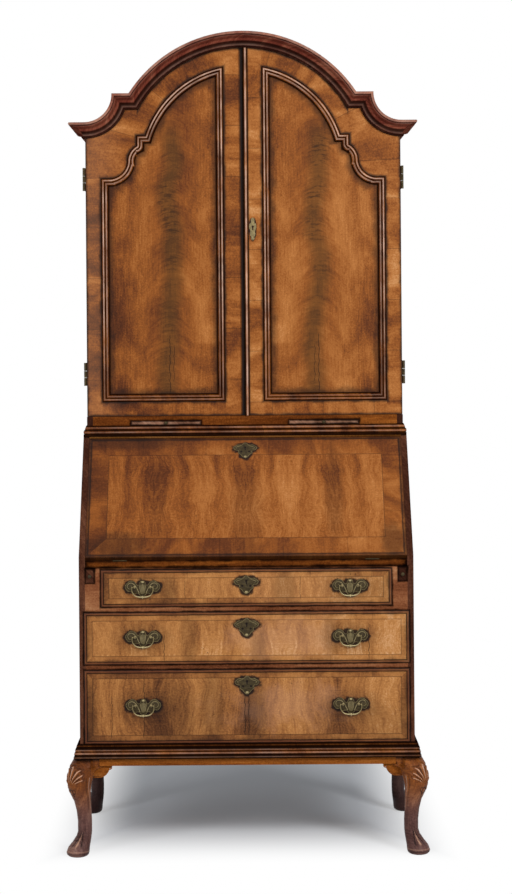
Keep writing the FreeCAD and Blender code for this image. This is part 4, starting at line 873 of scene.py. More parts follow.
BATWING = (
    (0, 0.50, 0.10, 0.47), (0.16, 0.36, 0.22, 0.22), (0.36, 0.28, 0.60, 0.50),
    (0.86, 0.34, 1.0, 0.14), (0.92, -0.08, 0.80, -0.20), (0.64, -0.14, 0.56, -0.30),
    (0.36, -0.32, 0.22, -0.34), (0.16, -0.44, 0.08, -0.49), (0, -0.50),
)
LOCK_PLATE = (
    (0, 0.50, 0.10, 0.48), (0.22, 0.40, 0.40, 0.36), (0.62, 0.38, 0.82, 0.30),
    (1.0, 0.20, 0.86, 0.04), (0.62, 0.02, 0.56, -0.08), (0.62, -0.16, 0.44, -0.24),
    (0.34, -0.30, 0.20, -0.42), (0, -0.50),
)
DOOR_PLATE = (
    (0, 0.50, 0.42, 0.44), (0.40, 0.33, 0.44, 0.28), (0.80, 0.24, 1.0, 0.10),
    (0.80, -0.02, 0.60, -0.10), (0.72, -0.18, 0.60, -0.30), (0.30, -0.36, 0.42, -0.44),
    (0, -0.50),
)

# The plates' widths and heights, and their thickness. A lock plate's middle lies LOCK_DOWN
# under the edge above it, and a turn of UPRIGHT lays a plate drawn flat against a front.
HANDLE_SIZE = (93 * MM, 42 * MM)
LOCK_SIZE = (66 * MM, 50 * MM)
DOOR_PLATE_SIZE = (20 * MM, 62 * MM)
PLATE = 1.5 * MM
LOCK_DOWN = 41 * MM
UPRIGHT = math.radians(90)

# A handle's two posts: how far they stand to the sides of the plate's middle and above it,
# and their radius
POST_OFF = 20.5 * MM
POST_UP = 3.9 * MM
POST_RADIUS = 3.9 * MM

# A cabriole leg's form: at each level in mm, how far it stands out of the case's corner
# and how far in from the corner it begins, which is below zero.
LEG_FORM = (
    (0, 29, -14), (5, 35, -21), (11, 37, -23), (24, 32, -24), (37, 21, -26), (50, 12, -28),
    (62, 8, -29), (88, 8, -29), (115, 11, -28), (141, 17, -27), (167, 29, -27), (180, 33, -28),
    (194, 34, -31), (206, 33, -34), (222, 29, -40), (231, 29, -63), (246, 20, -64), (274, 0, -64),
)

# How far the case's corners stand from its middle, and the height of one slice of a leg
CORNER = (CASE_HIGH.x, -CASE_LOW.y)
SLICE = 3 * MM

# A front knee bracket's outline, right of the middle, in mm across and up.
BRACKET = (
    (408, 233), (408, 203), (384, 203), (376, 205), (369, 210.5), (364, 217), (361.5, 222.5),
    (356, 224.5), (353.5, 228), (353, 233),
)


def arc(start, through, end, steps=5):
    """Points from a start up to an end, on the circle through a third point."""
    (ax, ay), (bx, by), (cx, cy) = start, through, end
    d = 2 * (ax * (by - cy) + bx * (cy - ay) + cx * (ay - by))
    if abs(d) < 1e-12:
        return [start]
    a, b, c = ax * ax + ay * ay, bx * bx + by * by, cx * cx + cy * cy
    ux = (a * (by - cy) + b * (cy - ay) + c * (ay - by)) / d
    uy = (a * (cx - bx) + b * (ax - cx) + c * (bx - ax)) / d
    first, middle, last = [math.atan2(y - uy, x - ux) for x, y in (start, through, end)]
    turn = (last - first) % math.tau
    if (middle - first) % math.tau > turn:
        turn -= math.tau
    radius = math.hypot(ax - ux, ay - uy)
    return [(ux + radius * math.cos(first + turn * i / steps),
             uy + radius * math.sin(first + turn * i / steps)) for i in range(steps)]


def plate_outline(rows, size, shrink=0.0):
    """The whole outline of a plate, drawn in a little all round by a length."""
    half, tall = size[0] / 2 - shrink, size[1] - 2 * shrink
    right = []
    for row, following in zip(rows, rows[1:]):
        start, end = (row[0] * half, row[1] * tall), (following[0] * half, following[1] * tall)
        if len(row) == 4:
            right += arc(start, (row[2] * half, row[3] * tall), end)
        else:
            right.append(start)
    right.append((rows[-1][0] * half, rows[-1][1] * tall))
    return right + [(-x, y) for x, y in reversed(right[1:-1])]


def keyhole(level):
    """A keyhole's outline: a round top and a straight slot below it."""
    top = [(3 * MM * math.sin(a), level + 3 * MM * math.cos(a))
           for a in (math.radians(-150 + 15 * i) for i in range(21))]
    return top + [(1.5 * MM, level - 9 * MM), (-1.5 * MM, level - 9 * MM)]


def made_mesh(curve, level=0.0):
    """A curve at a level, as a clean mesh piece."""
    piece = bpy.data.objects.new(curve.name, curve)
    bpy.context.scene.collection.objects.link(piece)
    piece.location.z = level
    pick(piece)
    bpy.ops.object.convert(target="MESH")
    piece = bpy.context.object
    outward(piece)
    return piece


def cut_plate(rings, thick, soften):
    """A flat plate cut to outlines, its edge softened."""
    curve = bpy.data.curves.new("plate", "CURVE")
    curve.dimensions = "2D"
    curve.fill_mode = "BOTH"
    curve.extrude = thick / 2 - soften
    curve.bevel_depth = soften
    curve.bevel_resolution = 1
    curve.offset = -soften
    for ring in rings:
        spline = curve.splines.new("POLY")
        spline.points.add(len(ring) - 1)
        for point, (x, y) in zip(spline.points, ring):
            point.co = (x, y, 0, 1)
        spline.use_cyclic_u = True
    return made_mesh(curve, thick / 2)


def wire(points, radius, closed=False, smooth=True, steps=3):
    """A round wire along points. Each point is a place and its share of the radius."""
    curve = bpy.data.curves.new("wire", "CURVE")
    curve.dimensions = "3D"
    curve.bevel_depth = radius
    curve.bevel_resolution = 3
    curve.use_fill_caps = True
    curve.resolution_u = steps
    spline = curve.splines.new("NURBS" if smooth else "POLY")
    spline.points.add(len(points) - 1)
    for point, (place, share) in zip(spline.points, points):
        point.co = (*place, 1)
        point.radius = share
    spline.use_cyclic_u = closed
    if smooth:
        spline.order_u = 4
        spline.use_endpoint_u = not closed
    return made_mesh(curve)


def boss(place, size, segments=14, rings=8):
    """A low rounded boss."""
    pick()
    bpy.ops.mesh.primitive_uv_sphere_add(segments=segments, ring_count=rings, radius=1,
                                         location=place)
    bpy.context.object.scale = size
    return applied(bpy.context.object)


def nut():
    """A turned post with a waist and a domed end, standing along Z from 0."""
    pick()
    bpy.ops.mesh.primitive_cylinder_add(vertices=20, radius=POST_RADIUS, depth=3 * MM,
                                        location=(0, 0, 1.5 * MM))
    post = bpy.context.object
    rises = ((0.7, 0.6), (0.62, 2.4), (0.95, 0.5), (1.0, 1.6), (0.9, 1.0), (0.6, 0.9), (0.2, 0.4))
    choose(post, lambda face: face.normal.z > 0.9)
    wide = 1.0
    for share, rise in rises:
        bpy.ops.mesh.extrude_region_move(TRANSFORM_OT_translate={"value": (0, 0, rise * MM)})
        bpy.ops.transform.resize(value=(share / wide, share / wide, 1))
        wide = share
    bpy.ops.object.mode_set(mode="OBJECT")
    return post


def smoothed(piece, angle=50):
    """Shade a piece smooth but for edges that turn by more than an angle in degrees."""
    pick(piece)
    bpy.ops.object.shade_smooth_by_angle(angle=math.radians(angle))


def rub(piece, low, high, level):
    """Store how far use has polished each point: 0 at a low level, 1 at a high one."""
    mesh = piece.data
    wear_and_painted_light = mesh.attributes.new("rubbed", "FLOAT", "POINT")
    for number, vertex in enumerate(mesh.vertices):
        wear_and_painted_light.data[number].value = min(max((level(vertex.co) - low) / (high - low), 0), 1)


def scroll(side, lead, centre, wide, tight):
    """A raised line on a plate that runs along a lead and then winds inwards."""
    points = list(lead)
    turns = 18
    for number in range(turns + 1):
        turn = math.radians(150 - 22 * number)
        reach = wide + (tight - wide) * number / turns
        points.append((centre[0] + reach * math.cos(turn), centre[1] + reach * math.sin(turn)))
    count = len(points)
    return wire([((side * x * MM, y * MM, PLATE), 1 - 0.45 * number / count)
                 for number, (x, y) in enumerate(points)], 1.25 * MM)


def batwing():
    """A batwing plate lying on Z = 0: rims, scrolled wings, a reeded shield and two posts."""
    plate = cut_plate([plate_outline(BATWING, HANDLE_SIZE)], PLATE, 0.4 * MM)
    parts = [wire([((x, y, PLATE), 1) for x, y in plate_outline(BATWING, HANDLE_SIZE, 1.4 * MM)],
                  0.8 * MM, closed=True, smooth=False)]
    for side in (-1, 1):
        parts.append(scroll(side, ((9, -12), (13, -3), (18, 7)), (31.5, 4.5), 11.0, 2.5))
    for across in (-7, -3.5, 0, 3.5, 7):
        off = abs(across)
        parts.append(wire([
            ((across * MM, (12 - off * 0.5) * MM, PLATE), 1),
            ((across * MM, 0, PLATE + 0.6 * MM), 1),
            ((across * 0.6 * MM, (-15 + off * 0.3) * MM, PLATE), 0.8)], 1.1 * MM))
    parts.append(boss((0, 16.5 * MM, PLATE), (4.4 * MM, 3.2 * MM, 1.6 * MM)))
    for side in (-1, 1):
        parts.append(set_down(nut(), (side * POST_OFF, POST_UP, 0), 0.0))
    whole = joined(plate, *parts)
    smoothed(whole)
    rub(whole, PLATE - 0.25 * MM, PLATE + 1.1 * MM,
        lambda place: place.z if place.z < PLATE + 2 * MM else PLATE + 0.4 * MM)
    return whole


def escutcheon(rows, size, level, wear_and_painted_light, holes=()):
    """A lock plate lying on Z = 0: a keyhole and round piercings in a flat plate, a rim and a few
    raised lines. The plate is polished by use down to a given level."""
    turns = [math.radians(30 * i) for i in range(12)]
    pierced = [[(across + radius * math.cos(a), up + radius * math.sin(a)) for a in turns]
               for across, up, radius in holes]
    plate = cut_plate([plate_outline(rows, size), keyhole(level)] + pierced, PLATE, 0.35 * MM)
    wide, tall = size[0] / 2, size[1]
    rim = plate_outline(rows, size, min(size) * 0.03 + 0.4 * MM)
    parts = [wire([((x, y, PLATE), 1) for x, y in rim], 0.65 * MM, closed=True, smooth=False)]
    line = ((0.2, 0.34, 0.6), (0.42, 0.26, 1), (0.72, 0.22, 1), (0.84, 0.16, 0.9),
            (0.62, 0.1, 0.6))
    for side in (-1, 1):
        parts.append(wire([((side * wide * across, tall * up, PLATE), share)
                           for across, up, share in line], 0.8 * MM))
    parts.append(boss((0, -tall * 0.38, PLATE), (wide * 0.14, tall * 0.07, 1.2 * MM)))
    whole = joined(plate, *parts)
    smoothed(whole)
    rub(whole, wear_and_painted_light, PLATE + 0.9 * MM, lambda place: place.z)
    return whole


def set_down(piece, place, tilt):
    """Lay a piece drawn on Z = 0 against a face that is tilted about X."""
    piece.location = place
    piece.rotation_euler = (tilt, 0, 0)
    return applied(piece)


def bail_bow():
    """A swinging bail about its pin line: a swelling bow with a beaded drop."""
    half = [((16.7, 0), 0.8), ((22, 0), 0.8), ((27.2, 0.3), 0.85), ((28.2, -6), 0.95),
            ((26.6, -14), 1.0), ((21, -21.5), 1.05), ((13, -25), 1.15), ((5, -25.6), 1.4)]
    path = half + [((-x, z), share) for (x, z), share in reversed(half)]
    bow = wire([((x * MM, 0, z * MM), share) for (x, z), share in path], 1.5 * MM, steps=4)
    beads = [boss((0, 0, -25.8 * MM), (2.6 * MM, 3.3 * MM, 3.9 * MM), 16, 10)]
    for side in (-1, 1):
        beads.append(boss((side * 3.8 * MM, 0, -25.7 * MM), (1.0 * MM, 2.9 * MM, 2.9 * MM)))
        beads.append(boss((side * 27 * MM, 0, 0), (2.0 * MM, 2.3 * MM, 2.3 * MM)))
    whole = joined(bow, *beads)
    smoothed(whole)
    rub(whole, 0.0, 1.6 * MM,
        lambda place: -place.y * (0.35 + 0.65 * ease(-place.z, 16 * MM, 25 * MM)))
    return whole


def moulded_front(name, finish):
    """A drawer front with a rolled lip, a fine quirk inside it and a flat veneered field."""
    low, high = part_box(name + "_front")
    back = low.y + 5.5 * MM
    front = block(low, (high.x, back, high.z))
    choose(front, lambda face: face.normal.y > 0.9)
    bpy.ops.mesh.inset(thickness=4.7 * MM)
    bpy.ops.mesh.extrude_region_move(TRANSFORM_OT_translate={"value": (0, high.y - back, 0)})
    choose(front, lambda face: face.normal.y < -0.9)
    bpy.ops.mesh.inset(thickness=finish.lip)
    for depth in (1.3 * MM, -1.3 * MM):
        bpy.ops.mesh.inset(thickness=0.8 * MM)
        bpy.ops.transform.translate(value=(0, depth, 0))
    hair = 0.01 * MM
    choose(front, lambda edge: all(abs(v.co.y - low.y) < hair and min(
        v.co.x - low.x, high.x - v.co.x, v.co.z - low.z, high.z - v.co.z) < hair
        for v in edge.verts), "EDGE")
    bpy.ops.mesh.bevel(offset=3.4 * MM, segments=5, profile=0.5, clamp_overlap=True)
    bpy.ops.object.mode_set(mode="OBJECT")
    smoothed(front, 35)
    return front


def fall_bead():
    """The thin rounded bead round the edge of the fall. It stands hardly proud of the face,
    because the open fall lies on the lopers with half a millimetre to spare."""
    half, top = FALL_HIGH.x, FALL_THICK + 0.3 * MM
    slab = block((-half, 0, FALL_THICK - 2 * MM), (half, FALL_LENGTH, top))
    choose(slab, lambda face: face.normal.z > 0.9)
    bpy.ops.mesh.inset(thickness=4.6 * MM)
    bpy.ops.transform.translate(value=(0, 0, -1.5 * MM))
    choose(slab, lambda edge: all(abs(v.co.z - top) < 0.01 * MM for v in edge.verts), "EDGE")
    bpy.ops.mesh.bevel(offset=1.5 * MM, segments=4, profile=0.5, clamp_overlap=True)
    bpy.ops.object.mode_set(mode="OBJECT")
    smoothed(slab, 40)
    return set_down(slab, FALL_PIN, FALL_SLOPE)


def cad_copy(name, without=None):
    """A copy of a CAD node as a new piece, its loose triangles merged, without the faces
    whose middle a test picks."""
    mesh = NODES[name].data.copy()
    piece = bpy.data.objects.new(name + "_copy", mesh)
    bpy.context.scene.collection.objects.link(piece)
    outward(piece)
    if without:
        choose(piece, lambda face: without(face.calc_center_median()))
        bpy.ops.mesh.delete(type="FACE")
        bpy.ops.object.mode_set(mode="OBJECT")
    return piece


def brackets():
    """The shaped brackets beside the knees: the front pair scrolled, the rest as they are."""
    pieces = [cad_copy("knee_brackets", lambda middle: middle.y < CASE_LOW.y + 21 * MM
                       and abs(middle.x) < CASE_HIGH.x - 25 * MM)]
    for side in (-1, 1):
        ring = [(side * x * MM, z * MM) for x, z in BRACKET]
        ear = cut_plate([ring], 20 * MM, 0.8 * MM)
        pieces.append(set_down(ear, (0, CASE_LOW.y + 20 * MM, 0), UPRIGHT))
        edge = [((x, CASE_LOW.y - 0.4 * MM, z), 1) for x, z in ring[1:-1]]
        pieces.append(wire(edge, 1.5 * MM, smooth=False))
    return pieces


def span_at(level):
    """How far a leg stands out from the case's corner and in from it, at a level."""
    for (low, out, back), (high, next_out, next_back) in zip(LEG_FORM, LEG_FORM[1:]):
        if level <= high:
            share = min(max((level - low) / (high - low), 0), 1)
            return out + (next_out - out) * share, back + (next_back - back) * share
    return LEG_FORM[-1][1:]


def ridge(value, middle, width):
    """A rounded ridge from 0 to 1 about a middle."""
    away = abs(value - middle) / width
    return max(0.0, 1 - away * away) ** 1.5


def ease(value, low, high):
    """A soft step from 0 at low to 1 at high."""
    share = min(max((value - low) / (high - low), 0), 1)
    return share * share * (3 - 2 * share)


def carve_front(height, turn, depth):
    """How far the knee's surface moves out, and its crest or hollow from 1 to -1.

    turn is the way that the surface faces, from the case's corner at 0 round to the
    middle of the front at a positive angle.
    """
    out, mark = 0.0, 0.0
    # The shell: fingers that fan out upwards from its foot
    across, up = math.degrees(turn) * 0.56, height - 174
    reach, lean = math.hypot(across, up), math.degrees(math.atan2(across, up))
    lean /= 0.4 + 0.62 * reach / 60
    if up > -2 and abs(lean) < 72:
        finger = math.cos(math.radians(lean) * 360 / 20)
        tip = 61 - 16 * (abs(lean) / 60) ** 1.3 - 3 * (1 - finger)
        side = 1 - ease(abs(lean), 62, 70)
        within = ease(reach, 8, 26) * (1 - ease(reach, tip - 4, tip + 1)) * side
        out += depth * within * (0.55 * finger + 0.3)
        mark += within * (1.1 * max(finger, 0) ** 2.5 - 0.75 * max(-finger, 0))
        edge = ridge(reach, tip + 2.6, 3.2) * side
        out -= depth * 0.4 * edge
        mark -= 0.45 * edge
    # The husk under the shell
    for middle, size, side in ((166, 8.0, 0), (156, 5.5, 0), (170, 5.0, 10), (170, 5.0, -10)):
        away = math.hypot((height - middle) / size, (across - side) / (size * 0.75))
        if away < 1.5:
            out += 1.9 * ridge(away, 0, 1.0)
            mark += 0.5 * ridge(away, 0, 0.8) - 0.8 * ridge(away, 1.15, 0.35)
    # The scroll line that runs down the knee's inner edge
    place = math.degrees(turn) - (104 - 12 * ease(height, 150, 205))
    span = ease(height, 96, 122) * (1 - ease(height, 204, 212))
    out += 1.9 * span * ridge(place, 0, 10)
    mark += span * (0.7 * ridge(place, 0, 5) - 0.5 * ridge(place, -13, 7))
    # The tongue on the foot
    if height < 72:
        middle = math.degrees(turn) - 28
        width = 6 + 22 * (1 - ease(height, 20, 64))
        span = ease(height, 20, 30) * (1 - ease(height, 56, 70))
        out += 2.2 * span * ridge(middle, 0, width)
        hollow = ridge(abs(middle), width * 1.05, 7)
        mark += span * (0.9 * ridge(middle, 0, width * 0.4) - 0.8 * hollow)
        mark += 0.55 * ridge(height, 15, 3) - 0.6 * ridge(height, 9.5, 3)
    return out * MM, mark


def softened_leg(name):
    """A copy of a leg's CAD form with an even mesh, its edges softened as by long wear."""
    leg = cad_copy(name)
    remesh = leg.modifiers.new("even mesh", "REMESH")
    remesh.mode = "VOXEL"
    remesh.voxel_size = 1.7 * MM
    soft = leg.modifiers.new("wear_and_painted_light", "SMOOTH")
    soft.factor, soft.iterations = 0.5, 4
    pick(leg)
    for modifier in ("even mesh", "wear_and_painted_light"):
        bpy.ops.object.modifier_apply(modifier=modifier)
    return leg


def slice_ends(mesh):
    """The two ends in x and in y of each slice of a leg's height."""
    slices = {}
    for vertex in mesh.vertices:
        place = vertex.co
        ends = slices.setdefault(int(place.z / SLICE), [9, -9, 9, -9])
        ends[0], ends[1] = min(ends[0], place.x), max(ends[1], place.x)
        ends[2], ends[3] = min(ends[2], place.y), max(ends[3], place.y)
    return slices


def form_leg(mesh, ways):
    """Stretch each slice of a leg to LEG_FORM's span, and lay its post flush with the rails.

    ways says on which side of the middle the leg stands, in x and in y.
    """
    slices = slice_ends(mesh)
    for vertex in mesh.vertices:
        place, ends = vertex.co, slices[int(vertex.co.z / SLICE)]
        out, back = span_at(place.z / MM)
        for axis, way in enumerate(ways):
            near, far = sorted(end * way for end in ends[2 * axis:2 * axis + 2])
            share = (place[axis] * way - near) / (far - near)
            place[axis] = way * (CORNER[axis] + (share * (out - back) + back) * MM)
        flush = ease(place.z, 218 * MM, 230 * MM)
        sides = [place[axis] * way for axis, way in enumerate(ways)]
        for axis, way in enumerate(ways):
            proud = sides[axis] - CORNER[axis] + 0.6 * MM
            inward = ease(CORNER[1 - axis] - sides[1 - axis], 27 * MM, 34 * MM)
            if proud > 0:
                place[axis] -= way * proud * flush * inward
    mesh.update()


def carved_leg(name, finish):
    """A cabriole leg from its CAD form, softened as by long wear, the front ones carved."""
    leg = softened_leg(name)
    mesh = leg.data
    low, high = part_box(name)
    ways = [math.copysign(1, end) for end in (low + high)[:2]]
    form_leg(mesh, ways)
    moved = []
    for vertex in mesh.vertices:
        place, out, mark = vertex.co.copy(), 0.0, 0.0
        if ways[1] < 0 and place.z < STAND_LOW.z - 8 * MM:
            middle = sum(span_at((int(place.z / SLICE) + 0.5) * SLICE / MM)) / 2 * MM
            aside, before = [place[axis] * way - CORNER[axis] - middle
                             for axis, way in enumerate(ways)]
            turn = math.atan2(before, aside) - math.pi / 4
            out, mark = carve_front(place.z / MM, turn, finish.carving / MM)
        moved.append((place + vertex.normal * out, mark))
    # Each point's crest or hollow is stored, for the leg's colour to paint as highlight or shade.
    marks = mesh.attributes.new("carving", "FLOAT", "POINT")
    for vertex, wear_and_painted_light, (place, mark) in zip(mesh.vertices, marks.data, moved):
        vertex.co = place
        wear_and_painted_light.value = mark
    pick(leg)
    bpy.ops.object.shade_smooth()
    return leg


# The steps

def gaps_round(names, reach):
    """A measure of how far a point of a front is from the nearest of some pieces set in it, with
    how far the wax, dust and painted shade in the gaps round them reach."""
    def gaps(tree, x, y, z):
        """The distance and the reach, the same on both sides of the middle."""
        boxes = [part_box(name) for name in names]
        away = outside_of(tree, add(tree, "Math.ABSOLUTE", x), z,
                          [((low.x, low.z), (high.x, high.z)) for low, high in boxes])
        return away, reach
    return gaps


def board_rims(name, reach):
    """A measure of how far a point of a board's front is from that front's nearest edge."""
    def rims(tree, x, y, z):
        """The distance and the reach, the same on both sides of the middle."""
        low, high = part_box(name)
        ends = sorted(abs(side) for side in (low.x, high.x))
        near = ends[0] if low.x * high.x > 0 else -ends[1]
        distance, _ = rectangle(tree, add(tree, "Math.ABSOLUTE", x), z,
                                (near, low.z), (ends[1], high.z))
        return distance, reach
    return rims


def lines_at(low, tall, *rows):
    """Lines along a moulding. Each row has its place as a share of the moulding's height,
    its width in millimetres and its strength."""
    return [(low + tall * share, width * MM, strength) for share, width, strength in rows]


class BUREAU_OT_carcase(bpy.types.Operator):
    """Finish the case's sides, rails, boards, linings and backs"""
    bl_idname = "bureau.carcase"
    bl_label = "Case and linings"

    def execute(self, context):
        # The measured edges darken with dirt and painted shade in the gaps round drawers, lopers
        # and candle slides and along rims; the writing board's top rim is a painted shadow under
        # the fall.
        case_gaps = gaps_round([name + "_front" for name in DRAWERS] + ["loper_right"], 5.5 * MM)
        for name, pieces, *wood_kind in (
                ("bureau_side", ["bureau_side_left", "bureau_side_right"],
                 "Z", 3.0, -0.16, GREYED, case_gaps),
                ("bookcase_side", ["bookcase_side_left", "bookcase_side_right"],
                 "Z", 14.0, -0.2, GREYED),
                ("board", ["bureau_top", "shelves", "pigeonhole_unit", "small_drawer_left",
                           "small_drawer_right"], "X", 9.0, -0.1),
                ("plinth", ["bookcase_bottom"], "X", 17.0, -0.1, AMBER,
                 gaps_round(["candle_slide_right"], 7 * MM)),
                ("writing_board", ["writing_board"], "X", 19.0, -0.18, AMBER,
                 board_rims("writing_board", 8 * MM)),
                ("stand", ["stand_rails"], "X", 6.0, -0.12, AMBER),
                ("loper", ["loper_left", "loper_right"], "Y", 12.0, -0.22, GREYED,
                 board_rims("loper_right", 7 * MM)),
                ("candle_slide", ["candle_slide_left", "candle_slide_right"],
                 "Y", 12.0, 0.0, BARE, board_rims("candle_slide_right", 8 * MM)),
                ("rail", ["drawer_framing"], "X", 8.0, 0.05, BROWN, case_gaps)):
            paint(pieces, board_walnut("walnut_" + name, *wood_kind))
        paint(["bureau_bottom", "bookcase_roof"] + [name + "_box" for name in DRAWERS],
              oak_boards("oak_lining", "X", 2.0))
        paint(["bureau_back", "bookcase_back"], oak_boards("oak_back", "Z", 4.0, 168 * MM))
        return {"FINISHED"}


class BUREAU_OT_mouldings(bpy.types.Operator):
    """Finish the stand, waist and door mouldings, the astragal and the cornice"""
    bl_idname = "bureau.mouldings"
    bl_label = "Mouldings and cornice"

    def execute(self, context):
        # Each moulding's dark lines are painted shade in its hollows, gaps and edges, and its pale
        # lines painted highlights on its crests.
        low, tall = STAND_LOW.z, STAND_HIGH.z - STAND_LOW.z
        paint(["stand_moulding"], cross_grained(
            "walnut_moulding_stand", 61.0, -0.12, height, 150 * MM,
            lines_at(low, tall, (0.0, 9, 0.97), (0.25, 7, 0.95), (0.505, 3, 0.7),
                     (0.755, 9, 0.97), (1.0, 7, 0.97)),
            lines_at(low, tall, (0.15, 3.4, 0.3), (0.4, 3.4, 0.3), (0.63, 3.4, 0.3)),
            palette=AMBER))
        low, tall = WAIST_LOW.z, WAIST_HIGH.z - WAIST_LOW.z
        paint(["waist_moulding"], cross_grained(
            "walnut_moulding_waist", 64.0, -0.22, height, 150 * MM,
            lines_at(low, tall, (0.0, 9, 0.97), (0.22, 5, 0.9), (0.6, 5, 0.9), (1.0, 6, 0.97)),
            lines_at(low, tall, (0.4, 3, 0.25), (0.8, 3, 0.25)), palette=AMBER))
        paint(["door_left_moulding", "door_right_moulding"], cross_grained(
            "walnut_moulding_doors", 66.0, -0.2, within_trim, 74 * MM,
            lines_at(0, MM, (0, 5, 0.95), (10.2, 3, 0.85), (TRIM_WIDTH / MM, 7, 0.95)),
            lines_at(0, MM, (5.8, 2.6, 0.95), (14.2, 2.4, 0.8)), palette=AMBER,
            highlights_fade_from=(1.18, 1.5)))
        paint(["door_astragal"], cross_grained(
            "walnut_astragal", 67.0, -0.1, off_centre, 84 * MM,
            lines_at(0, MM, (5.8, 4.4, 0.97)), lines_at(0, MM, (0, 3.6, 0.85)), palette=AMBER))
        low = reach = 42 * MM
        paint(["cornice"], cross_grained(
            "walnut_cornice", 68.0, 0.06, forward, 76 * MM,
            lines_at(low, reach, (0.0, 9, 0.97), (0.2, 5, 0.9), (0.47, 6, 0.4), (0.8, 3.5, 0.85),
                     (0.93, 2.4, 0.8)),
            lines_at(low, reach, (0.13, 3.4, 0.34), (0.72, 3.4, 0.34), (0.97, 3.4, 0.34)),
            about_hub=True, palette=RUSSET))
        return {"FINISHED"}


class BUREAU_OT_veneers(bpy.types.Operator):
    """Veneer the fall, the door panels and the door frames"""
    bl_idname = "bureau.veneers"
    bl_label = "Veneered faces"

    def execute(self, context):
        finish = context.scene.bureau_finish
        paint(["fall_board"], fall_veneer(finish))
        # The bead's walnut is lifted pale all over, a painted highlight along the fall's edge.
        settle(fall_bead(), "fall_bead", "fall", "banded_walnut_veneer",
               cross_grained("walnut_bead", 69.0, 0.4, height, palette=AMBER))
        paint(["door_left_panel", "door_right_panel"], panel_veneer())
        paint(["door_left_frame", "door_right_frame"], door_veneer())
        return {"FINISHED"}


class BUREAU_OT_drawer_fronts(bpy.types.Operator):
    """Mould and veneer the three long drawer fronts"""
    bl_idname = "bureau.drawer_fronts"
    bl_label = "Drawer fronts"

    def execute(self, context):
        finish = context.scene.bureau_finish
        for number, name in enumerate(DRAWERS):
            veneer = drawer_veneer(name, 21.0 + 13 * number, finish)
            settle(moulded_front(name, finish), name + "_moulded_front", name,
                   "banded_walnut_veneer", veneer, name + "_front")
        return {"FINISHED"}


class BUREAU_OT_legs(bpy.types.Operator):
    """Carve the cabriole legs"""
    bl_idname = "bureau.legs"
    bl_label = "Cabriole legs"

    def execute(self, context):
        finish = context.scene.bureau_finish
        material = leg_walnut()
        for name in [n for n in NODES if n.startswith("leg_")]:
            settle(carved_leg(name, finish), "carved_" + name, "case", "stand_walnut",
                   material, name)
        settle(joined(*brackets()), "scrolled_knee_brackets", "case", "stand_walnut",
               board_walnut("walnut_bracket", "X", 6.0, -0.12, AMBER), "knee_brackets")
        return {"FINISHED"}


class BUREAU_OT_brasses(bpy.types.Operator):
    """Fit the batwing handles, lock plates, hinges and knobs"""
    bl_idname = "bureau.brasses"
    bl_label = "Brasses"

    def execute(self, context):
        self.material = old_brass()
        wing, bow = batwing(), bail_bow()
        lock = escutcheon(LOCK_PLATE, LOCK_SIZE, LOCK_SIZE[1] * 0.2, PLATE - 0.5 * MM, [
            (side * 10.5 * MM, -3 * MM, 2.9 * MM) for side in (-1, 1)])
        for name in DRAWERS:
            self.fit_drawer(name, wing, bow, lock)
        self.fit_fall(lock)
        self.fit_right_door()
        for piece in (wing, bow):
            bpy.data.objects.remove(piece)
        paint([n for n in NODES if n.endswith("knob")] + ["door_left_brasses", "case_hinges"],
              self.material)
        return {"FINISHED"}

    def fit_drawer(self, name, wing, bow, lock):
        """Two plates, their bails and a lock plate on a drawer's front."""
        low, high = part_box(name + "_front")
        parts = []
        for side in SIDES:
            pivot = Vector(JOINTS[f"{name}_bail_{side}_hinge"]["pos_m"])
            parts.append(set_down(copied(wing), (pivot.x, low.y, pivot.z - POST_UP), UPRIGHT))
            bail = set_down(copied(bow), pivot, 0.0)
            settle(bail, f"{name}_cast_bail_{side}", f"{name}_bail_{side}", "patinated_brass",
                   self.material, f"{name}_bail_{side}")
        parts.append(set_down(copied(lock), (0, low.y, high.z - LOCK_DOWN), UPRIGHT))
        settle(joined(*parts), name + "_plates", name, "patinated_brass", self.material,
               name + "_brasses")

    def fit_fall(self, lock):
        """The lock plate at the head of the fall, and its two hinges below."""
        out = Vector((0, -math.sin(FALL_SLOPE), math.cos(FALL_SLOPE))) * FALL_THICK
        up = Vector((0, math.cos(FALL_SLOPE), math.sin(FALL_SLOPE))) * (FALL_LENGTH - LOCK_DOWN)
        plate = set_down(lock, FALL_PIN + out + up, FALL_SLOPE)
        hinges = cad_copy("fall_brasses", lambda middle: abs(middle.x) < 0.1)
        settle(joined(plate, hinges), "fall_plates", "fall", "patinated_brass", self.material,
               "fall_brasses")

    def fit_right_door(self):
        """The lock plate on the right door's inner stile, and its hinges."""
        plate = escutcheon(DOOR_PLATE, DOOR_PLATE_SIZE, DOOR_PLATE_SIZE[1] * 0.1, PLATE - 1.4 * MM)
        set_down(plate, (25 * MM, DOOR_LOW.y, DOOR_LOW.z + 503 * MM), UPRIGHT)
        hinges = cad_copy("door_right_brasses", lambda middle: middle.x < 0.2)
        settle(joined(plate, hinges), "door_right_plates", "door_right", "patinated_brass",
               self.material, "door_right_brasses")


def in_sight(tree):
    """1 for what the camera sees, also in gloss or through glass, and 0 for what only lights."""
    ray = add(tree, "LightPath", out=("Is Camera Ray", "Is Glossy Ray", "Is Transmission Ray"))
    return add(tree, "Math.MAXIMUM", ray[0], add(tree, "Math.MAXIMUM", ray[1], ray[2]))


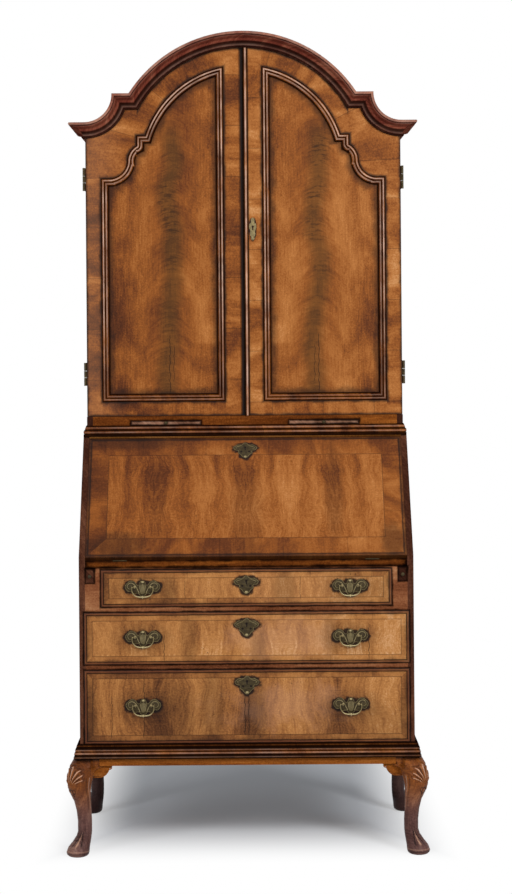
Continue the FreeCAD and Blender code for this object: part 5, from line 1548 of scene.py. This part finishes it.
class BUREAU_OT_stage(bpy.types.Operator):
    """Set up the pale floor, the white backdrop, the soft lamps and the camera"""
    bl_idname = "bureau.stage"
    bl_label = "Stage and camera"

    def execute(self, context):
        scene = context.scene
        finish = scene.bureau_finish
        scene.view_settings.view_transform = "Standard"
        self.lay_floor(finish)
        self.light(scene)
        # The camera looks level, and its shifted lens brings the whole piece into the picture.
        lens = bpy.data.cameras.new("camera")
        lens.lens = 85
        lens.sensor_width = 36
        lens.shift_x = 0.0131
        lens.shift_y = -0.1245
        camera = bpy.data.objects.new("camera", lens)
        camera.location = (0, -5.743, 1.35)
        camera.rotation_euler = (math.radians(90), math.radians(0.45), 0)
        scene.collection.objects.link(camera)
        scene.camera = camera
        return {"FINISHED"}

    def lay_floor(self, finish):
        """Matt paper that takes the shadow near the piece and fades to white further off."""
        material, tree, shader = new_material("matt_paper_floor", "matt paper")
        shade(tree, shader, [*finish.floor, 1.0], 0.95)
        shader.inputs["Specular IOR Level"].default_value = 0.0
        x, y, _ = place_on(tree)
        aside = add(tree, EASED, add(tree, "Math.ABSOLUTE", x), 0.3, 0.56)
        before = add(tree, EASED, y, -0.36, 0.14, 1.0, 0.0)
        behind = add(tree, EASED, y, 0.9, 1.6)
        away = add(tree, "Math.MAXIMUM", aside, add(tree, "Math.MAXIMUM", before, behind))
        fade = add(tree, "Math.MULTIPLY", in_sight(tree), away)
        white = add(tree, "Emission", (1, 1, 1, 1), 1.0)
        both = add(tree, "MixShader", fade, shader.outputs[0], white)
        tree.links.new(both, tree.nodes[0].inputs["Surface"])
        pick()
        bpy.ops.mesh.primitive_plane_add(size=40, location=(0, 0, 0))
        floor = bpy.context.object
        floor.name = "floor"
        floor.data.materials.append(material)

    def light(self, scene):
        """A grey-white room that shows as white, and soft lamps above and to both sides."""
        world = bpy.data.worlds.new("studio")
        world.use_nodes = True
        tree = world.node_tree
        tree.nodes.clear()
        room = add(tree, "Background", (0.98, 0.99, 1.0, 1), 0.24)
        white = add(tree, "Background", (1, 1, 1, 1), 1.0)
        both = add(tree, "MixShader", in_sight(tree), room, white)
        tree.links.new(both, tree.nodes.new("ShaderNodeOutputWorld").inputs["Surface"])
        scene.world = world
        # Each lamp's name, place, size in metres and power in watts
        for name, place, size, power in (
                ("key", (2.6, -4.4, 3.0), 1.6, 140), ("fill", (-3.0, -4.2, 2.6), 2.0, 80),
                ("top", (0.0, -0.9, 4.6), 2.2, 14)):
            lamp = bpy.data.lights.new(name, "AREA")
            lamp.size = size
            lamp.energy = power
            holder = bpy.data.objects.new(name, lamp)
            holder.location = place
            aim = Vector((0, 0, 1.0)) - Vector(place)
            holder.rotation_euler = aim.to_track_quat("-Z", "Y").to_euler()
            scene.collection.objects.link(holder)


class BUREAU_PT_finish(bpy.types.Panel):
    """The finish's colours and sizes, and the steps in their order"""
    bl_label = "Bureau bookcase"
    bl_idname = "BUREAU_PT_finish"
    bl_space_type = "VIEW_3D"
    bl_region_type = "UI"
    bl_category = "Bureau"

    def draw(self, context):
        finish = context.scene.bureau_finish
        for name in finish.__annotations__:
            self.layout.prop(finish, name)
        for step in STEPS:
            self.layout.operator(step.bl_idname)


STEPS = (BUREAU_OT_carcase, BUREAU_OT_mouldings, BUREAU_OT_veneers, BUREAU_OT_drawer_fronts,
         BUREAU_OT_legs, BUREAU_OT_brasses, BUREAU_OT_stage)


def register():
    """Add the properties, the steps and the panel."""
    for item in (BureauFinish,) + STEPS + (BUREAU_PT_finish,):
        bpy.utils.register_class(item)
    bpy.types.Scene.bureau_finish = bpy.props.PointerProperty(type=BureauFinish)


def unregister():
    """Take them away again."""
    del bpy.types.Scene.bureau_finish
    for item in reversed((BureauFinish,) + STEPS + (BUREAU_PT_finish,)):
        bpy.utils.unregister_class(item)


def main():
    """Dress the frame."""
    register()
    bpy.ops.bureau.carcase()
    bpy.ops.bureau.mouldings()
    bpy.ops.bureau.veneers()
    bpy.ops.bureau.drawer_fronts()
    bpy.ops.bureau.legs()
    bpy.ops.bureau.brasses()
    bpy.ops.bureau.stage()


if __name__ == "__main__":
    main()
